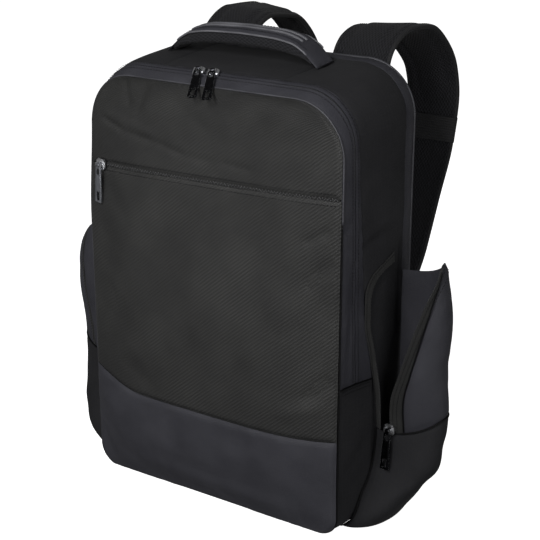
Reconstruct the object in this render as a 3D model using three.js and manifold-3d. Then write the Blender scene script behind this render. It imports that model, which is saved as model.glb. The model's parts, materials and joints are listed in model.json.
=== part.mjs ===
// A laptop backpack that stands on its base, built from its sewn panels.
// Millimetres, +Z up. The front faces -Y, the wearer's side faces +Y.
// The origin is on the underside of the base, in the middle of the bag.
import * as THREE from 'three';
import Module from 'manifold-3d';
import { mergeVertices } from 'three/addons/utils/BufferGeometryUtils.js';

const wasm = await Module();
wasm.setup();

// Driving dimensions of the bag
const bagHeight = 467;
const bagHalfWidth = 156;
const bagDepth = 140;
const topCornerRadius = 54;
const bottomCornerRadius = 22;
const wall = 2.8;
const gap = 0.4;
const frontBulge = 21;
const frontZipHeight = 356;
const frontZipRise = 3;
const cornerSlump = 7;
const frontZipOpening = 5;
const frontZipStart = -131;
const frontBaseSeam = 110;
const frontBaseSweep = 13;
const gussetSeamHeight = 165;
const gussetSeamDrop = 24;
const mainZipWidth = 3;
const zipRecess = 1.2;
const topPanelHalfWidth = 72;
const rearBandWidth = 22;

// Side pockets
const pocketHeight = 289;
const pocketTopFall = 30;
const openReach = 74;
const openFlare = 17;
const closedReach = 78;
const closedFlare = 38;
const pocketSeamFront = 101;
const pocketSeamRise = 22;
const pocketRearInset = 22;
const pocketRearRound = 4;
const pocketWall = 2.2;
const pocketHem = 1.2;
const pocketTapeWidth = 11;
const pocketZipWidth = 4;
const pocketZipRecess = 0.8;

// Back panel and its pads
const backPanelThickness = 3;
const backPadThickness = 7;
const backPadSideMargin = 44;
const backPadChannel = 34;
const backPadTopMargin = 49;
const backPadBottom = 62;
const backPadCorner = 26;
const backPadEdge = 5;

// Handle
const handleHalfSpan = 91;
const handleMeshHalfSpan = 84;
const handleShift = -6;
const handleRise = 16;
const handleWidth = 30;
const handleThickness = 10;
const handleBack = 10;
const handleCoverThickness = 2.4;
const handleRibHeight = 2;
const handleEdgeRound = 4;

// Shoulder straps
const strapWidth = 64;
const strapThickness = 9;
const strapSideMargin = 70;
const strapReach = 150;
const strapSpread = bagHalfWidth - strapSideMargin;
const keeperLength = 22;
const keeperThickness = 1.6;
const webbingWidth = 25;
const webbingThickness = 1.5;
const anchorSideMargin = 27;
const anchorHeight = 20;
const anchorWidth = 30;
const anchorLength = 26;
const anchorThickness = 2;
const buckleLength = 30;
const buckleThickness = 4;
const buckleBar = 4;
const buckleClearance = 0.5;
const anchorSpread = bagHalfWidth - anchorSideMargin;

// Zip sliders and their pull tabs
const sliderLength = 12;
const sliderWidth = 12.5;
const sliderThickness = 2.6;
const pinRadius = 0.8;
const pinClearance = 0.35;
const knuckleWall = 0.9;
const knuckleWidth = 4.4;
const earThickness = 1.6;
const earLength = 3.6;
const pullLength = 42;
const pullWidth = 10;
const pullNeckWidth = 7.4;
const pullThickness = 1.8;
const pullRim = 1.7;
const pullEyeEnd = 11;
const pullWindowStart = 30;

// Where the sliders stand, and how their pulls hang
const mainSliders = [-22, -4];
const mainHang = new THREE.Vector3(0.4, -1, 0);
const mainSwing = -9;
const frontHang = new THREE.Vector3(-0.12, 0, -1);
const frontSwing = -5;
const openSliderUp = 0.025;
const openSwing = 7;
const closedSliderUp = 0.94;
const closedHang = new THREE.Vector3(-1, -0.3, -0.6);

// Sections of the body from the front seam to the back: depth as a share of bagDepth,
// width of bagHalfWidth, top and bottom of bagHeight.
const bodySections = [
  { depth: 0.0, width: 0.994, top: 0.96, bottom: 0.005 },
  { depth: 0.18, width: 1.006, top: 0.983, bottom: 0.001 },
  { depth: 0.26, width: 1.01, top: 0.987, bottom: 0.0 },
  { depth: 0.55, width: 1.026, top: 0.993, bottom: 0.0 },
  { depth: 0.84, width: 1.006, top: 1.0, bottom: 0.0 },
  { depth: 1.0, width: 0.984, top: 0.997, bottom: 0.0 },
];

// Where the main zip and the gusset's rear seam run: height as a share of bagHeight,
// zip and seam as shares of bagDepth behind the front seam.
const seamLines = [
  { height: 0.0, zip: 0.21, seam: 0.45 },
  { height: 0.25, zip: 0.21, seam: 0.46 },
  { height: 0.33, zip: 0.2, seam: 0.43 },
  { height: 0.44, zip: 0.18, seam: 0.38 },
  { height: 0.52, zip: 0.17, seam: 0.3 },
  { height: 0.6, zip: 0.165, seam: 0.27 },
  { height: 0.75, zip: 0.15, seam: 0.225 },
  { height: 1.0, zip: 0.12, seam: 0.175 },
];

// How far the front stands proud of its seam at the middle: height as a share of the front's height,
// bulge of frontBulge.
const frontProfile = [
  { height: 0.0, bulge: 0.0 },
  { height: 0.05, bulge: 0.4 },
  { height: 0.12, bulge: 0.78 },
  { height: 0.24, bulge: 1.0 },
  { height: 0.45, bulge: 0.82 },
  { height: 0.78, bulge: 0.4 },
  { height: 0.92, bulge: 0.26 },
  { height: 1.0, bulge: 0.0 },
];

// A side pocket's lower panel, from its floor to its seam: up as a share of the seam's height, reach
// and flare of the pocket's own, front as a share of bagDepth. The closed pocket is filled lower down.
const openBaseRows = [
  { up: 0.02, reach: -0.2, front: 0.2, flare: 0.0 },
  { up: 0.02, reach: 0.3, front: 0.18, flare: 0.1 },
  { up: 0.14, reach: 0.5, front: 0.2, flare: 0.35 },
  { up: 0.34, reach: 0.74, front: 0.28, flare: 0.75 },
  { up: 0.54, reach: 0.93, front: 0.39, flare: 1.0 },
  { up: 0.8, reach: 0.99, front: 0.45, flare: 1.05 },
  { up: 1.0, reach: 1.0, front: 0.46, flare: 1.0 },
];
const closedBaseRows = [
  { up: 0.02, reach: -0.2, front: 0.2, flare: 0.0 },
  { up: 0.02, reach: 0.4, front: 0.18, flare: 0.2 },
  { up: 0.14, reach: 0.72, front: 0.2, flare: 0.55 },
  { up: 0.34, reach: 0.89, front: 0.28, flare: 0.9 },
  { up: 0.56, reach: 0.97, front: 0.39, flare: 1.05 },
  { up: 0.8, reach: 1.0, front: 0.45, flare: 1.05 },
  { up: 1.0, reach: 1.0, front: 0.46, flare: 1.0 },
];

// The closed pocket above its seam: up as a share of the way from the seam to its top, reach and
// flare of the pocket's own, front as a share of bagDepth, zip as a share of the way round.
const closedPocketRows = [
  { up: 0.0, reach: 1.0, front: 0.46, flare: 1.0, zip: 0.22 },
  { up: 0.2, reach: 0.99, front: 0.43, flare: 1.1, zip: 0.22 },
  { up: 0.42, reach: 0.97, front: 0.38, flare: 1.15, zip: 0.23 },
  { up: 0.62, reach: 0.91, front: 0.34, flare: 1.1, zip: 0.25 },
  { up: 0.78, reach: 0.78, front: 0.33, flare: 0.9, zip: 0.31 },
  { up: 0.9, reach: 0.52, front: 0.36, flare: 0.5, zip: 0.46 },
  { up: 1.0, reach: 0.12, front: 0.42, flare: 0.1, zip: 0.74 },
];

// The open pocket's flap: up as a share of the way from the seam to its top, edge and reach of
// openReach, flare of openFlare, front as a share of bagDepth.
const flapRows = [
  { up: 0.0, edge: 0.2, reach: 1.0, front: 0.42, flare: 1.0 },
  { up: 0.25, edge: 0.36, reach: 1.0, front: 0.42, flare: 0.85 },
  { up: 0.5, edge: 0.55, reach: 1.0, front: 0.42, flare: 0.6 },
  { up: 0.75, edge: 0.76, reach: 0.97, front: 0.43, flare: 0.3 },
  { up: 0.92, edge: 0.92, reach: 0.9, front: 0.455, flare: 0.05 },
  { up: 1.0, edge: 0.97, reach: 0.83, front: 0.48, flare: -0.2 },
];
const flapStart = 0.07;

// The half of the zip that stays on the bag beside the open pocket, from the slider up and round to
// the back: edge and base heights of pocketHeight, depths of bagDepth, edgeOut of openReach.
const openZipRun = [
  { edgeUp: 0.36, edgeBack: 0.42, edgeOut: 0.17, baseUp: 0.36, baseBack: 0.455 },
  { edgeUp: 0.48, edgeBack: 0.42, edgeOut: 0.15, baseUp: 0.475, baseBack: 0.43 },
  { edgeUp: 0.64, edgeBack: 0.4, edgeOut: 0.09, baseUp: 0.64, baseBack: 0.36 },
  { edgeUp: 0.77, edgeBack: 0.345, edgeOut: 0.06, baseUp: 0.78, baseBack: 0.285 },
  { edgeUp: 0.85, edgeBack: 0.345, edgeOut: 0.06, baseUp: 0.87, baseBack: 0.285 },
  { edgeUp: 0.91, edgeBack: 0.41, edgeOut: 0.06, baseUp: 0.935, baseBack: 0.36 },
  { edgeUp: 0.94, edgeBack: 0.54, edgeOut: 0.06, baseUp: 0.965, baseBack: 0.52 },
  { edgeUp: 0.95, edgeBack: 0.68, edgeOut: 0.06, baseUp: 0.985, baseBack: 0.67 },
];

// The handle from its middle to its end: across as a share of handleHalfSpan, rise of handleRise,
// pad of handleThickness.
const handleRows = [
  { across: 0.0, rise: 1.0, pad: 1.0 },
  { across: 0.4, rise: 0.92, pad: 1.0 },
  { across: 0.66, rise: 0.72, pad: 1.0 },
  { across: 0.82, rise: 0.42, pad: 0.8 },
  { across: 0.92, rise: 0.1, pad: 0.5 },
  { across: 1.0, rise: 0.0, pad: 0.0 },
];

// The shoulder straps from their top seam, over the loop and down: back as a share of strapReach,
// each side's up of bagHeight and out of strapSpread, twist in degrees, width of strapWidth.
const strapPath = [
  { back: 0.0, leftUp: 0.945, rightUp: 0.945, leftOut: 0.97, rightOut: 0.97, twist: 0, width: 1.0 },
  { back: 0.015, leftUp: 0.985, rightUp: 0.985, leftOut: 0.98, rightOut: 0.98, twist: 0, width: 1.0 },
  { back: 0.085, leftUp: 1.023, rightUp: 1.022, leftOut: 0.97, rightOut: 1.0, twist: 0, width: 1.0 },
  { back: 0.27, leftUp: 1.052, rightUp: 1.044, leftOut: 0.92, rightOut: 1.03, twist: -3, width: 1.0 },
  { back: 0.51, leftUp: 1.047, rightUp: 1.034, leftOut: 0.86, rightOut: 1.07, twist: -8, width: 0.98 },
  { back: 0.75, leftUp: 1.001, rightUp: 0.988, leftOut: 0.82, rightOut: 1.1, twist: -13, width: 0.9 },
  { back: 0.91, leftUp: 0.935, rightUp: 0.926, leftOut: 0.82, rightOut: 1.115, twist: -15, width: 0.85 },
  { back: 0.97, leftUp: 0.85, rightUp: 0.85, leftOut: 0.86, rightOut: 1.11, twist: -15, width: 0.85 },
  { back: 0.92, leftUp: 0.75, rightUp: 0.75, leftOut: 0.95, rightOut: 1.09, twist: -13, width: 0.87 },
  { back: 0.73, leftUp: 0.63, rightUp: 0.63, leftOut: 1.07, rightOut: 1.1, twist: -9, width: 0.87 },
  { back: 0.53, leftUp: 0.515, rightUp: 0.515, leftOut: 1.17, rightOut: 1.15, twist: -5, width: 0.8 },
  { back: 0.42, leftUp: 0.455, rightUp: 0.455, leftOut: 1.21, rightOut: 1.19, twist: -3, width: 0.66 },
];
const keeperPlace = 0.7;

// Materials, one for each finish
const finish = (color, roughness, metalness = 0) =>
  new THREE.MeshStandardMaterial({ color, roughness, metalness });
const materials = {
  ripstop: finish(0x2b2b2a, 0.75),
  coated: finish(0x35353a, 0.55),
  poly: finish(0x1f1f20, 0.85),
  mesh: finish(0x161618, 0.95),
  zipTape: finish(0x1a1a19, 0.8),
  webbing: finish(0x18181a, 0.85),
  plastic: finish(0x121213, 0.45),
  metal: finish(0x55565c, 0.28, 1),
};

const bag = new THREE.Group();

function addPiece(name, geometry, material, parent = bag) {
  const piece = new THREE.Mesh(geometry, materials[material]);
  piece.name = name;
  parent.add(piece);
}

// Numbers and tables

const mix = (a, b, t) => a + (b - a) * t;
const spread = (from, to, steps) => Array.from({ length: steps + 1 }, (_, i) => mix(from, to, i / steps));

function smoothstep(from, to, at) {
  const t = Math.min(Math.max((at - from) / (to - from), 0), 1);
  return t * t * (3 - 2 * t);
}

// Reads one column of a table at a place between its rows, on a smooth curve that never overshoots.
function readTable(table, key, at, column) {
  const last = table.length - 1;
  const upper = table.findIndex((row) => row[key] >= at);
  if (upper === 0) return table[0][column];
  if (upper < 0) return table[last][column];
  const rise = (i) => (table[i + 1][column] - table[i][column]) / (table[i + 1][key] - table[i][key]);
  const slope = (i) => {
    if (i === 0) return rise(0);
    if (i === last) return rise(last - 1);
    const product = rise(i - 1) * rise(i);
    return product <= 0 ? 0 : (2 * product) / (rise(i - 1) + rise(i));
  };
  const span = table[upper][key] - table[upper - 1][key];
  const t = (at - table[upper - 1][key]) / span;
  const ease = t * t * (3 - 2 * t);
  return (
    mix(table[upper - 1][column], table[upper][column], ease) +
    (t ** 3 - 2 * t ** 2 + t) * span * slope(upper - 1) +
    (t ** 3 - t ** 2) * span * slope(upper)
  );
}

// Where a table reaches a value of up, counted in rows, and all columns at such a place.
const rowNumber = (table, up) => readTable(table.map((row, i) => ({ up: row.up, i })), 'up', up, 'i');

function rowAt(table, number) {
  const share = number / (table.length - 1);
  return Object.fromEntries(Object.keys(table[0]).map((column) => [column, readRows(table, share, column)]));
}

// Reads one column at a share of the way through rows that are evenly spaced.
function readRows(table, share, column) {
  const numbered = table.map((row, i) => ({ at: i / (table.length - 1), value: row[column] }));
  return readTable(numbered, 'at', share, 'value');
}

// Closed bodies

const vector = (x, y, z) => new THREE.Vector3(x, y, z);
const lengthOf = (points) => points.slice(1).reduce((sum, p, i) => sum + p.distanceTo(points[i]), 0);

// Makes a closed body of points and triangles, and turns its faces out.
function closedGeometry(points, triangles) {
  let volume = 0;
  for (const [a, b, c] of triangles) {
    volume += points[a].dot(points[b].clone().cross(points[c]));
  }
  const index = triangles.flatMap(([a, b, c]) => (volume > 0 ? [a, b, c] : [a, c, b]));
  const numbers = points.flatMap((p) => p.toArray());
  const geometry = new THREE.BufferGeometry();
  geometry.setAttribute('position', new THREE.Float32BufferAttribute(numbers, 3));
  geometry.setIndex(index);
  geometry.computeVertexNormals();
  return geometry;
}

// A closed sheet between two grids of points, its outside and its inside.
function sheetGeometry(outside, inside) {
  const rows = outside.length;
  const columns = outside[0].length;
  const points = [...outside.flat(), ...inside.flat()];
  const out = (r, c) => r * columns + c;
  const inn = (r, c) => (rows + r) * columns + c;
  const triangles = [];
  const quad = (a, b, c, d) => triangles.push([a, b, c], [a, c, d]);
  for (let r = 0; r < rows - 1; r++) {
    for (let c = 0; c < columns - 1; c++) {
      quad(out(r, c), out(r, c + 1), out(r + 1, c + 1), out(r + 1, c));
      quad(inn(r, c), inn(r + 1, c), inn(r + 1, c + 1), inn(r, c + 1));
    }
    quad(out(r, 0), out(r + 1, 0), inn(r + 1, 0), inn(r, 0));
    quad(out(r, columns - 1), inn(r, columns - 1), inn(r + 1, columns - 1), out(r + 1, columns - 1));
  }
  for (let c = 0; c < columns - 1; c++) {
    quad(out(0, c + 1), out(0, c), inn(0, c), inn(0, c + 1));
    quad(out(rows - 1, c + 1), inn(rows - 1, c + 1), inn(rows - 1, c), out(rows - 1, c));
  }
  return closedGeometry(points, triangles);
}

// A solid through rings of points, closed at both ends.
function loftGeometry(rings) {
  const around = rings[0].length;
  const last = rings.length - 1;
  const at = (r, i) => r * around + (i % around);
  const triangles = [];
  for (let r = 0; r < last; r++) {
    for (let i = 0; i < around; i++) {
      triangles.push([at(r, i), at(r, i + 1), at(r + 1, i + 1)]);
      triangles.push([at(r, i), at(r + 1, i + 1), at(r + 1, i)]);
    }
  }
  for (let i = 1; i < around - 1; i++) {
    triangles.push([at(0, 0), at(0, i + 1), at(0, i)]);
    triangles.push([at(last, 0), at(last, i), at(last, i + 1)]);
  }
  return closedGeometry(rings.flat(), triangles);
}

// Draws a grid's rim in by half the sewing gap, so that neighbouring panels stay apart.
function trimmed(grid) {
  const toward = (p, q) => p.clone().add(q.clone().sub(p).setLength(gap / 2));
  const rows = grid.length - 1;
  const columns = grid[0].length - 1;
  const ends = grid.map((row) =>
    row.map((p, c) => {
      if (c === 0) return toward(p, row[1]);
      return c === columns ? toward(p, row[columns - 1]) : p;
    })
  );
  return ends.map((row, r) =>
    row.map((p, c) => {
      if (r === 0) return toward(p, ends[1][c]);
      return r === rows ? toward(p, ends[rows - 1][c]) : p;
    })
  );
}

// The normal of a surface given by two numbers, on the side that the reference points to.
function normalOf(surface, a, b, reference) {
  const step = 1e-3;
  const alongA = surface(a + step, b).sub(surface(a - step, b));
  const alongB = surface(a, b + step).sub(surface(a, b - step));
  const normal = alongA.cross(alongB).normalize();
  return normal.dot(reference) < 0 ? normal.negate() : normal;
}

// The same surface, sunk along its normals.
const sunk = (surface, inset, outward) => (a, b) => {
  const p = surface(a, b);
  return inset ? p.addScaledVector(normalOf(surface, a, b, outward(p)), -inset) : p;
};

// A sheet of one thickness under a surface. Each row lists its own second numbers.
function surfaceSheet(surface, rows, columnsOf, thickness, outward, keepOff = (p) => p) {
  const outside = rows.map((a) => columnsOf(a).map((b) => surface(a, b)));
  const inside = rows.map((a) =>
    columnsOf(a).map((b) => {
      const p = surface(a, b);
      return keepOff(p.clone().addScaledVector(normalOf(surface, a, b, outward(p)), -thickness));
    })
  );
  return sheetGeometry(trimmed(outside), trimmed(inside));
}

function toSolid(geometry) {
  const bare = geometry.clone();
  bare.deleteAttribute('normal');
  bare.deleteAttribute('uv');
  const merged = mergeVertices(bare, 1e-4);
  const vertProperties = new Float32Array(merged.attributes.position.array);
  const triVerts = new Uint32Array(merged.index.array);
  return new wasm.Manifold(new wasm.Mesh({ numProp: 3, vertProperties, triVerts }));
}

function joined(geometries) {
  const mesh = geometries.map(toSolid).reduce((a, b) => a.add(b)).getMesh();
  const geometry = new THREE.BufferGeometry();
  geometry.setAttribute('position', new THREE.Float32BufferAttribute(mesh.vertProperties, 3));
  geometry.setIndex([...mesh.triVerts]);
  geometry.computeVertexNormals();
  return geometry;
}

// The body's outline

const frontY = -bagDepth / 2;
const rearY = bagDepth / 2;
const depthAt = (share) => frontY + share * bagDepth;
const bodyColumn = (y, column) => readTable(bodySections, 'depth', (y - frontY) / bagDepth, column);

// The left upper corner has slumped in a little.
const slump = (z) => 1 - (cornerSlump / bagHalfWidth) * smoothstep(0.62, 0.88, z / bagHeight);

// The gusset's cross seam, and the fabric near it, drop towards the back.
function seamDrop(y, z) {
  const near = 1 - smoothstep(0, gussetSeamHeight / 2, Math.abs(z - gussetSeamHeight));
  return (gussetSeamDrop * near * (y - frontY)) / bagDepth;
}

function outlineSizes(y) {
  const halfWidth = bodyColumn(y, 'width') * bagHalfWidth;
  const top = bodyColumn(y, 'top') * bagHeight;
  const bottom = bodyColumn(y, 'bottom') * bagHeight;
  return { halfWidth, top, bottom, foot: bottom + bottomCornerRadius, head: top - topCornerRadius };
}

// Stations run round the outline from 0 at the middle of the base: 1 and 2 at the ends of the lower
// corner, 3 and 4 at the ends of the upper one, 5 at the middle of the top, and on down to 10.
function outlinePoint(y, station) {
  const { halfWidth, top, bottom, foot, head } = outlineSizes(y);
  const mirrored = station > 5 || station < 0;
  const at = station > 5 ? 10 - station : Math.abs(station);
  const zone = Math.min(Math.floor(at), 4);
  const t = at - zone;
  const angle = (t * Math.PI) / 2;
  const flatBottom = halfWidth - bottomCornerRadius;
  const flatTop = halfWidth - topCornerRadius;
  const lower = [bottomCornerRadius * Math.sin(angle), bottomCornerRadius * Math.cos(angle)];
  const upper = [topCornerRadius * Math.cos(angle), topCornerRadius * Math.sin(angle)];
  const [x, z] = [
    [flatBottom * t, bottom],
    [flatBottom + lower[0], foot - lower[1]],
    [halfWidth, mix(foot, head, t)],
    [flatTop + upper[0], head + upper[1]],
    [flatTop * (1 - t), top],
  ][zone];
  return vector(mirrored ? -x * slump(z) : x, y, zone === 2 ? z - seamDrop(y, z) : z);
}

// How far out the body's side is, at a depth and a height.
function sideX(y, z) {
  const { halfWidth, foot, head } = outlineSizes(y);
  const corner = z < foot ? bottomCornerRadius : topCornerRadius;
  const past = Math.min(Math.max(foot - z, z - head, 0), corner);
  return halfWidth - corner + Math.sqrt(corner ** 2 - past ** 2);
}

const { foot: sideFoot, head: sideHead } = outlineSizes(frontY);
const gussetStation = 2 + (gussetSeamHeight - sideFoot) / (sideHead - sideFoot);
const topSeamStation = 5 - topPanelHalfWidth / (bagHalfWidth - topCornerRadius);
const baseStation = 1;

// Stations between two ends, closest together round the corners.
const halfStations = [0, 0.5, 1, 1.33, 1.67, 2, 2.2, 2.4, 2.6, 2.8, 3, 3.2, 3.4, 3.6, 3.8, 4, 4.5, 5];
const allStations = [...new Set(halfStations.flatMap((s) => [-s, s, 10 - s]))].sort((a, b) => a - b);
const leastStation = 0.08;
function stationsBetween(from, to) {
  return [from, ...allStations.filter((s) => s > from + leastStation && s < to - leastStation), to];
}

// The body's panels

const bodyOutward = (p) => vector(p.x / bagHalfWidth, 0, p.z / (bagHeight / 2) - 1).normalize();
const heightShare = (station) => outlinePoint(0, station).z / bagHeight;
const zipY = (station) => depthAt(readTable(seamLines, 'height', heightShare(station), 'zip'));
const seamY = (station) => depthAt(readTable(seamLines, 'height', heightShare(station), 'seam'));
const zipFrontY = (station) => zipY(station) - mainZipWidth / 2;
const zipRearY = (station) => zipY(station) + mainZipWidth / 2;
const bandY = () => rearY - rearBandWidth;

// One panel of the body between two stations and two depths that follow the station.
function addBodyPanel(name, material, [from, to], fromY, toY, steps, inset = 0) {
  const face = (station, share) => outlinePoint(mix(fromY(station), toY(station), share), station);
  const columns = () => spread(0, 1, steps);
  const surface = sunk(face, inset, bodyOutward);
  const sheet = surfaceSheet(surface, stationsBetween(from, to), columns, wall - inset, bodyOutward);
  addPiece(name, sheet, material);
}

function addBody() {
  const overTop = [gussetStation, 10 - gussetStation];
  const underneath = [-gussetStation, gussetStation];
  const rightSide = [baseStation, topSeamStation];
  const leftSide = [10 - topSeamStation, 10 - baseStation];
  addBodyPanel('gusset_front_band', 'coated', overTop, () => frontY, zipFrontY, 2);
  addBodyPanel('main_zip_tape', 'zipTape', overTop, zipFrontY, zipRearY, 1, zipRecess);
  addBodyPanel('gusset_zip_cover', 'coated', overTop, zipRearY, seamY, 2);
  addBodyPanel('gusset_lower', 'poly', underneath, () => frontY, seamY, 2);
  addBodyPanel('side_panel_right', 'poly', rightSide, seamY, bandY, 4);
  addBodyPanel('side_panel_left', 'poly', leftSide, seamY, bandY, 4);
  addBodyPanel('top_panel', 'poly', [topSeamStation, 10 - topSeamStation], seamY, bandY, 3);
  addBodyPanel('base_panel', 'poly', [-baseStation, baseStation], seamY, bandY, 2);
  addBodyPanel('rear_band', 'coated', [-baseStation, 10 - baseStation], bandY, () => rearY, 2);
}

// The front's panels, which lie just in front of the band round them

const { top: frontTop, bottom: frontBottom } = outlineSizes(frontY);
const cornerSteps = spread(0, Math.PI / 2, 4);
const frontHeights = [
  ...cornerSteps.map((angle) => sideFoot - bottomCornerRadius * Math.cos(angle)),
  ...spread(frontBaseSeam, frontZipHeight, 6).slice(1, -1),
  ...cornerSteps.map((angle) => sideHead + topCornerRadius * Math.sin(angle)),
];

// Columns across the front, the first few set by where the zip starts.
const zipRowHalf = sideX(frontY, frontZipHeight);
const zipStartShare = frontZipStart / zipRowHalf;
const zipShares = spread(zipStartShare, 1, 14);
const frontColumns = [-1, (frontZipStart - sliderLength / 2) / zipRowHalf, ...zipShares];

const frontReach = (x, z) => sideX(frontY, z) * (x < 0 ? slump(z) : 1);

function frontFaceY(x, z) {
  const share = (z - frontBottom) / (frontTop - frontBottom);
  const across = Math.min(Math.abs(x) / frontReach(x, z), 1);
  const bulge = frontBulge * readTable(frontProfile, 'height', share, 'bulge') * (1 - across ** 4);
  return frontY - gap - wall - bulge;
}

// One panel of the front between two edges that may bend, flat on its inner side's rim.
function addFrontPanel(name, material, low, high, lowEdge, highEdge) {
  const least = 3;
  const heights = [low, ...frontHeights.filter((z) => z > low + least && z < high - least), high];
  const grid = heights.map((level) => {
    const share = (level - low) / (high - low);
    return frontColumns.map((across) => {
      const x = across * frontReach(across, level);
      const z = mix(lowEdge(x), highEdge(x), share);
      return vector(x, frontFaceY(x, z), z);
    });
  });
  const inner = grid.map((row) => row.map((p) => vector(p.x, p.y + wall, p.z)));
  addPiece(name, sheetGeometry(trimmed(grid), trimmed(inner)), material);
}

const zipLineZ = (x) => frontZipHeight + (frontZipRise * x) / bagHalfWidth;
const baseSeamZ = (x) => frontBaseSeam + frontBaseSweep * smoothstep(0.5, 1, -x / bagHalfWidth);
const zipHalfOpening = (x) =>
  mix(gap / 2, frontZipOpening / 2, smoothstep(frontZipStart - sliderLength / 2, frontZipStart, x));

function addFront() {
  const zipLow = (x) => zipLineZ(x) - zipHalfOpening(x);
  const zipHigh = (x) => zipLineZ(x) + zipHalfOpening(x);
  addFrontPanel('front_base_panel', 'coated', frontBottom, frontBaseSeam, () => frontBottom, baseSeamZ);
  addFrontPanel('front_pocket_panel', 'ripstop', frontBaseSeam, frontZipHeight, baseSeamZ, zipLow);
  addFrontPanel('front_panel_upper', 'ripstop', frontZipHeight, frontTop, zipHigh, () => frontTop);
  const tape = [-1, 1].map((half) =>
    zipShares.map((across) => {
      const x = across * (zipRowHalf - gap);
      const z = zipLineZ(x) + half * (frontZipOpening / 2 - gap);
      return vector(x, frontFaceY(x, z) + zipRecess, z);
    })
  );
  const back = tape.map((row) => row.map((p) => vector(p.x, p.y + wall - zipRecess, p.z)));
  addPiece('front_zip_tape', sheetGeometry(tape, back), 'zipTape');
}

// The side pockets

const pocketRearY = rearY - pocketRearInset;
const pocketMiddleY = (frontY + 3 * rearY) / 4 - pocketRearInset;
const openPocket = { reach: openReach, flare: openFlare, baseRows: openBaseRows };
const closedPocket = { reach: closedReach, flare: closedFlare, baseRows: closedBaseRows };
const attachX = (y, z) => sideX(y, z) + gap + pocketHem;
const pocketSeamZ = (round) => pocketSeamFront + pocketSeamRise * smoothstep(0, 0.5, round);
const pocketTopZ = (round) => pocketHeight - pocketTopFall * smoothstep(0.3, 1, round);

// A point on a pocket's bowed section. It starts at the edge, swings out to the reach halfway
// round, and ends at the rear seam.
function pocketPoint(pocket, row, z, round) {
  const frontEdge = depthAt(row.front);
  const start = row.edge === undefined ? attachX(frontEdge, z) : bagHalfWidth + row.edge * pocket.reach;
  const rear = attachX(pocketRearY, z);
  const swing = (bagHalfWidth + row.reach * pocket.reach - (start + rear) / 8) / 0.75;
  const curve = new THREE.CubicBezierCurve3(
    vector(start, frontEdge, z),
    vector(swing, frontEdge - row.flare * pocket.flare, z),
    vector(swing, pocketRearY + pocketRearRound, z),
    vector(rear, pocketRearY, z)
  );
  const p = curve.getPoint(round);
  return p.setX(Math.max(p.x, attachX(p.y, z)));
}

function basePoint(pocket, up, round) {
  const row = rowAt(pocket.baseRows, up * (pocket.baseRows.length - 1));
  return pocketPoint(pocket, row, row.up * pocketSeamZ(round), round);
}

function closedPoint(pocket, up, round) {
  const row = rowAt(closedPocketRows, rowNumber(closedPocketRows, up));
  return pocketPoint(pocket, row, mix(pocketSeamZ(round), pocketTopZ(round), up), round);
}

// The open flap leaves the lower panel's seam line and opens into its own section above it.
function flapPoint(pocket, up, share) {
  const row = rowAt(flapRows, rowNumber(flapRows, up));
  const round = mix(flapStart, 1, share);
  const z = mix(pocketSeamZ(round), pocketTopZ(round), up);
  const open = pocketPoint(pocket, row, z, share);
  return closedPoint(pocket, 0, round).setZ(z).lerp(open, smoothstep(0, 0.35, up));
}

// Rows up a pocket, closer together near its top, where it turns in.
const pocketRowSteps = spread(0, 1, 10).map((share) => share * (1.6 - 0.6 * share));

// A pocket panel on one side of the bag, between two shares of the way round.
function addPocketPanel(name, material, side, pocket, point, rows, from, to, steps, inset = 0) {
  const outward = (p) => vector(p.x - side * bagHalfWidth, p.y - pocketMiddleY, (p.z - pocketHeight / 2) / 3);
  const keepOff = (p) => {
    const least = sideX(p.y, p.z) + gap;
    return side * p.x < least ? p.setX(side * least) : p;
  };
  const face = (up, round) => {
    const p = point(pocket, up, round);
    return p.setX(side * p.x);
  };
  const columns = (up) => spread(from(up), to(up), steps);
  const surface = sunk(face, inset, outward);
  const sheet = surfaceSheet(surface, rows, columns, pocketWall - inset, outward, keepOff);
  addPiece(name, sheet, material);
}

// How long a section is round the pocket, to turn a width into a share of the way.
const roundLength = (pocket, point, up) => lengthOf(spread(0, 1, 16).map((round) => point(pocket, up, round)));

function addLeftPocket() {
  const side = -1;
  const baseRows = spread(0, 1, closedBaseRows.length * 2 - 2);
  const zipAt = (up) => readTable(closedPocketRows, 'up', up, 'zip');
  const zipEdge = (up, offset) => zipAt(up) + offset / roundLength(closedPocket, closedPoint, up);
  const zipStart = (up) => zipEdge(up, -pocketZipWidth / 2);
  const zipEnd = (up) => zipEdge(up, pocketZipWidth / 2);
  const tapeStart = (up) => zipEdge(up, 2 * gap - pocketZipWidth / 2);
  const tapeEnd = (up) => zipEdge(up, pocketZipWidth / 2 - 2 * gap);
  addPocketPanel('pocket_left_lower', 'poly', side, closedPocket, basePoint, baseRows, () => 0, () => 1, 12);
  addPocketPanel('pocket_left_strip', 'coated', side, closedPocket, closedPoint, pocketRowSteps, () => 0, zipStart, 3);
  addPocketPanel('pocket_left_zip', 'zipTape', side, closedPocket, closedPoint, pocketRowSteps, tapeStart, tapeEnd, 1, pocketZipRecess);
  addPocketPanel('pocket_left_upper', 'coated', side, closedPocket, closedPoint, pocketRowSteps, zipEnd, () => 1, 9);
}

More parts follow.
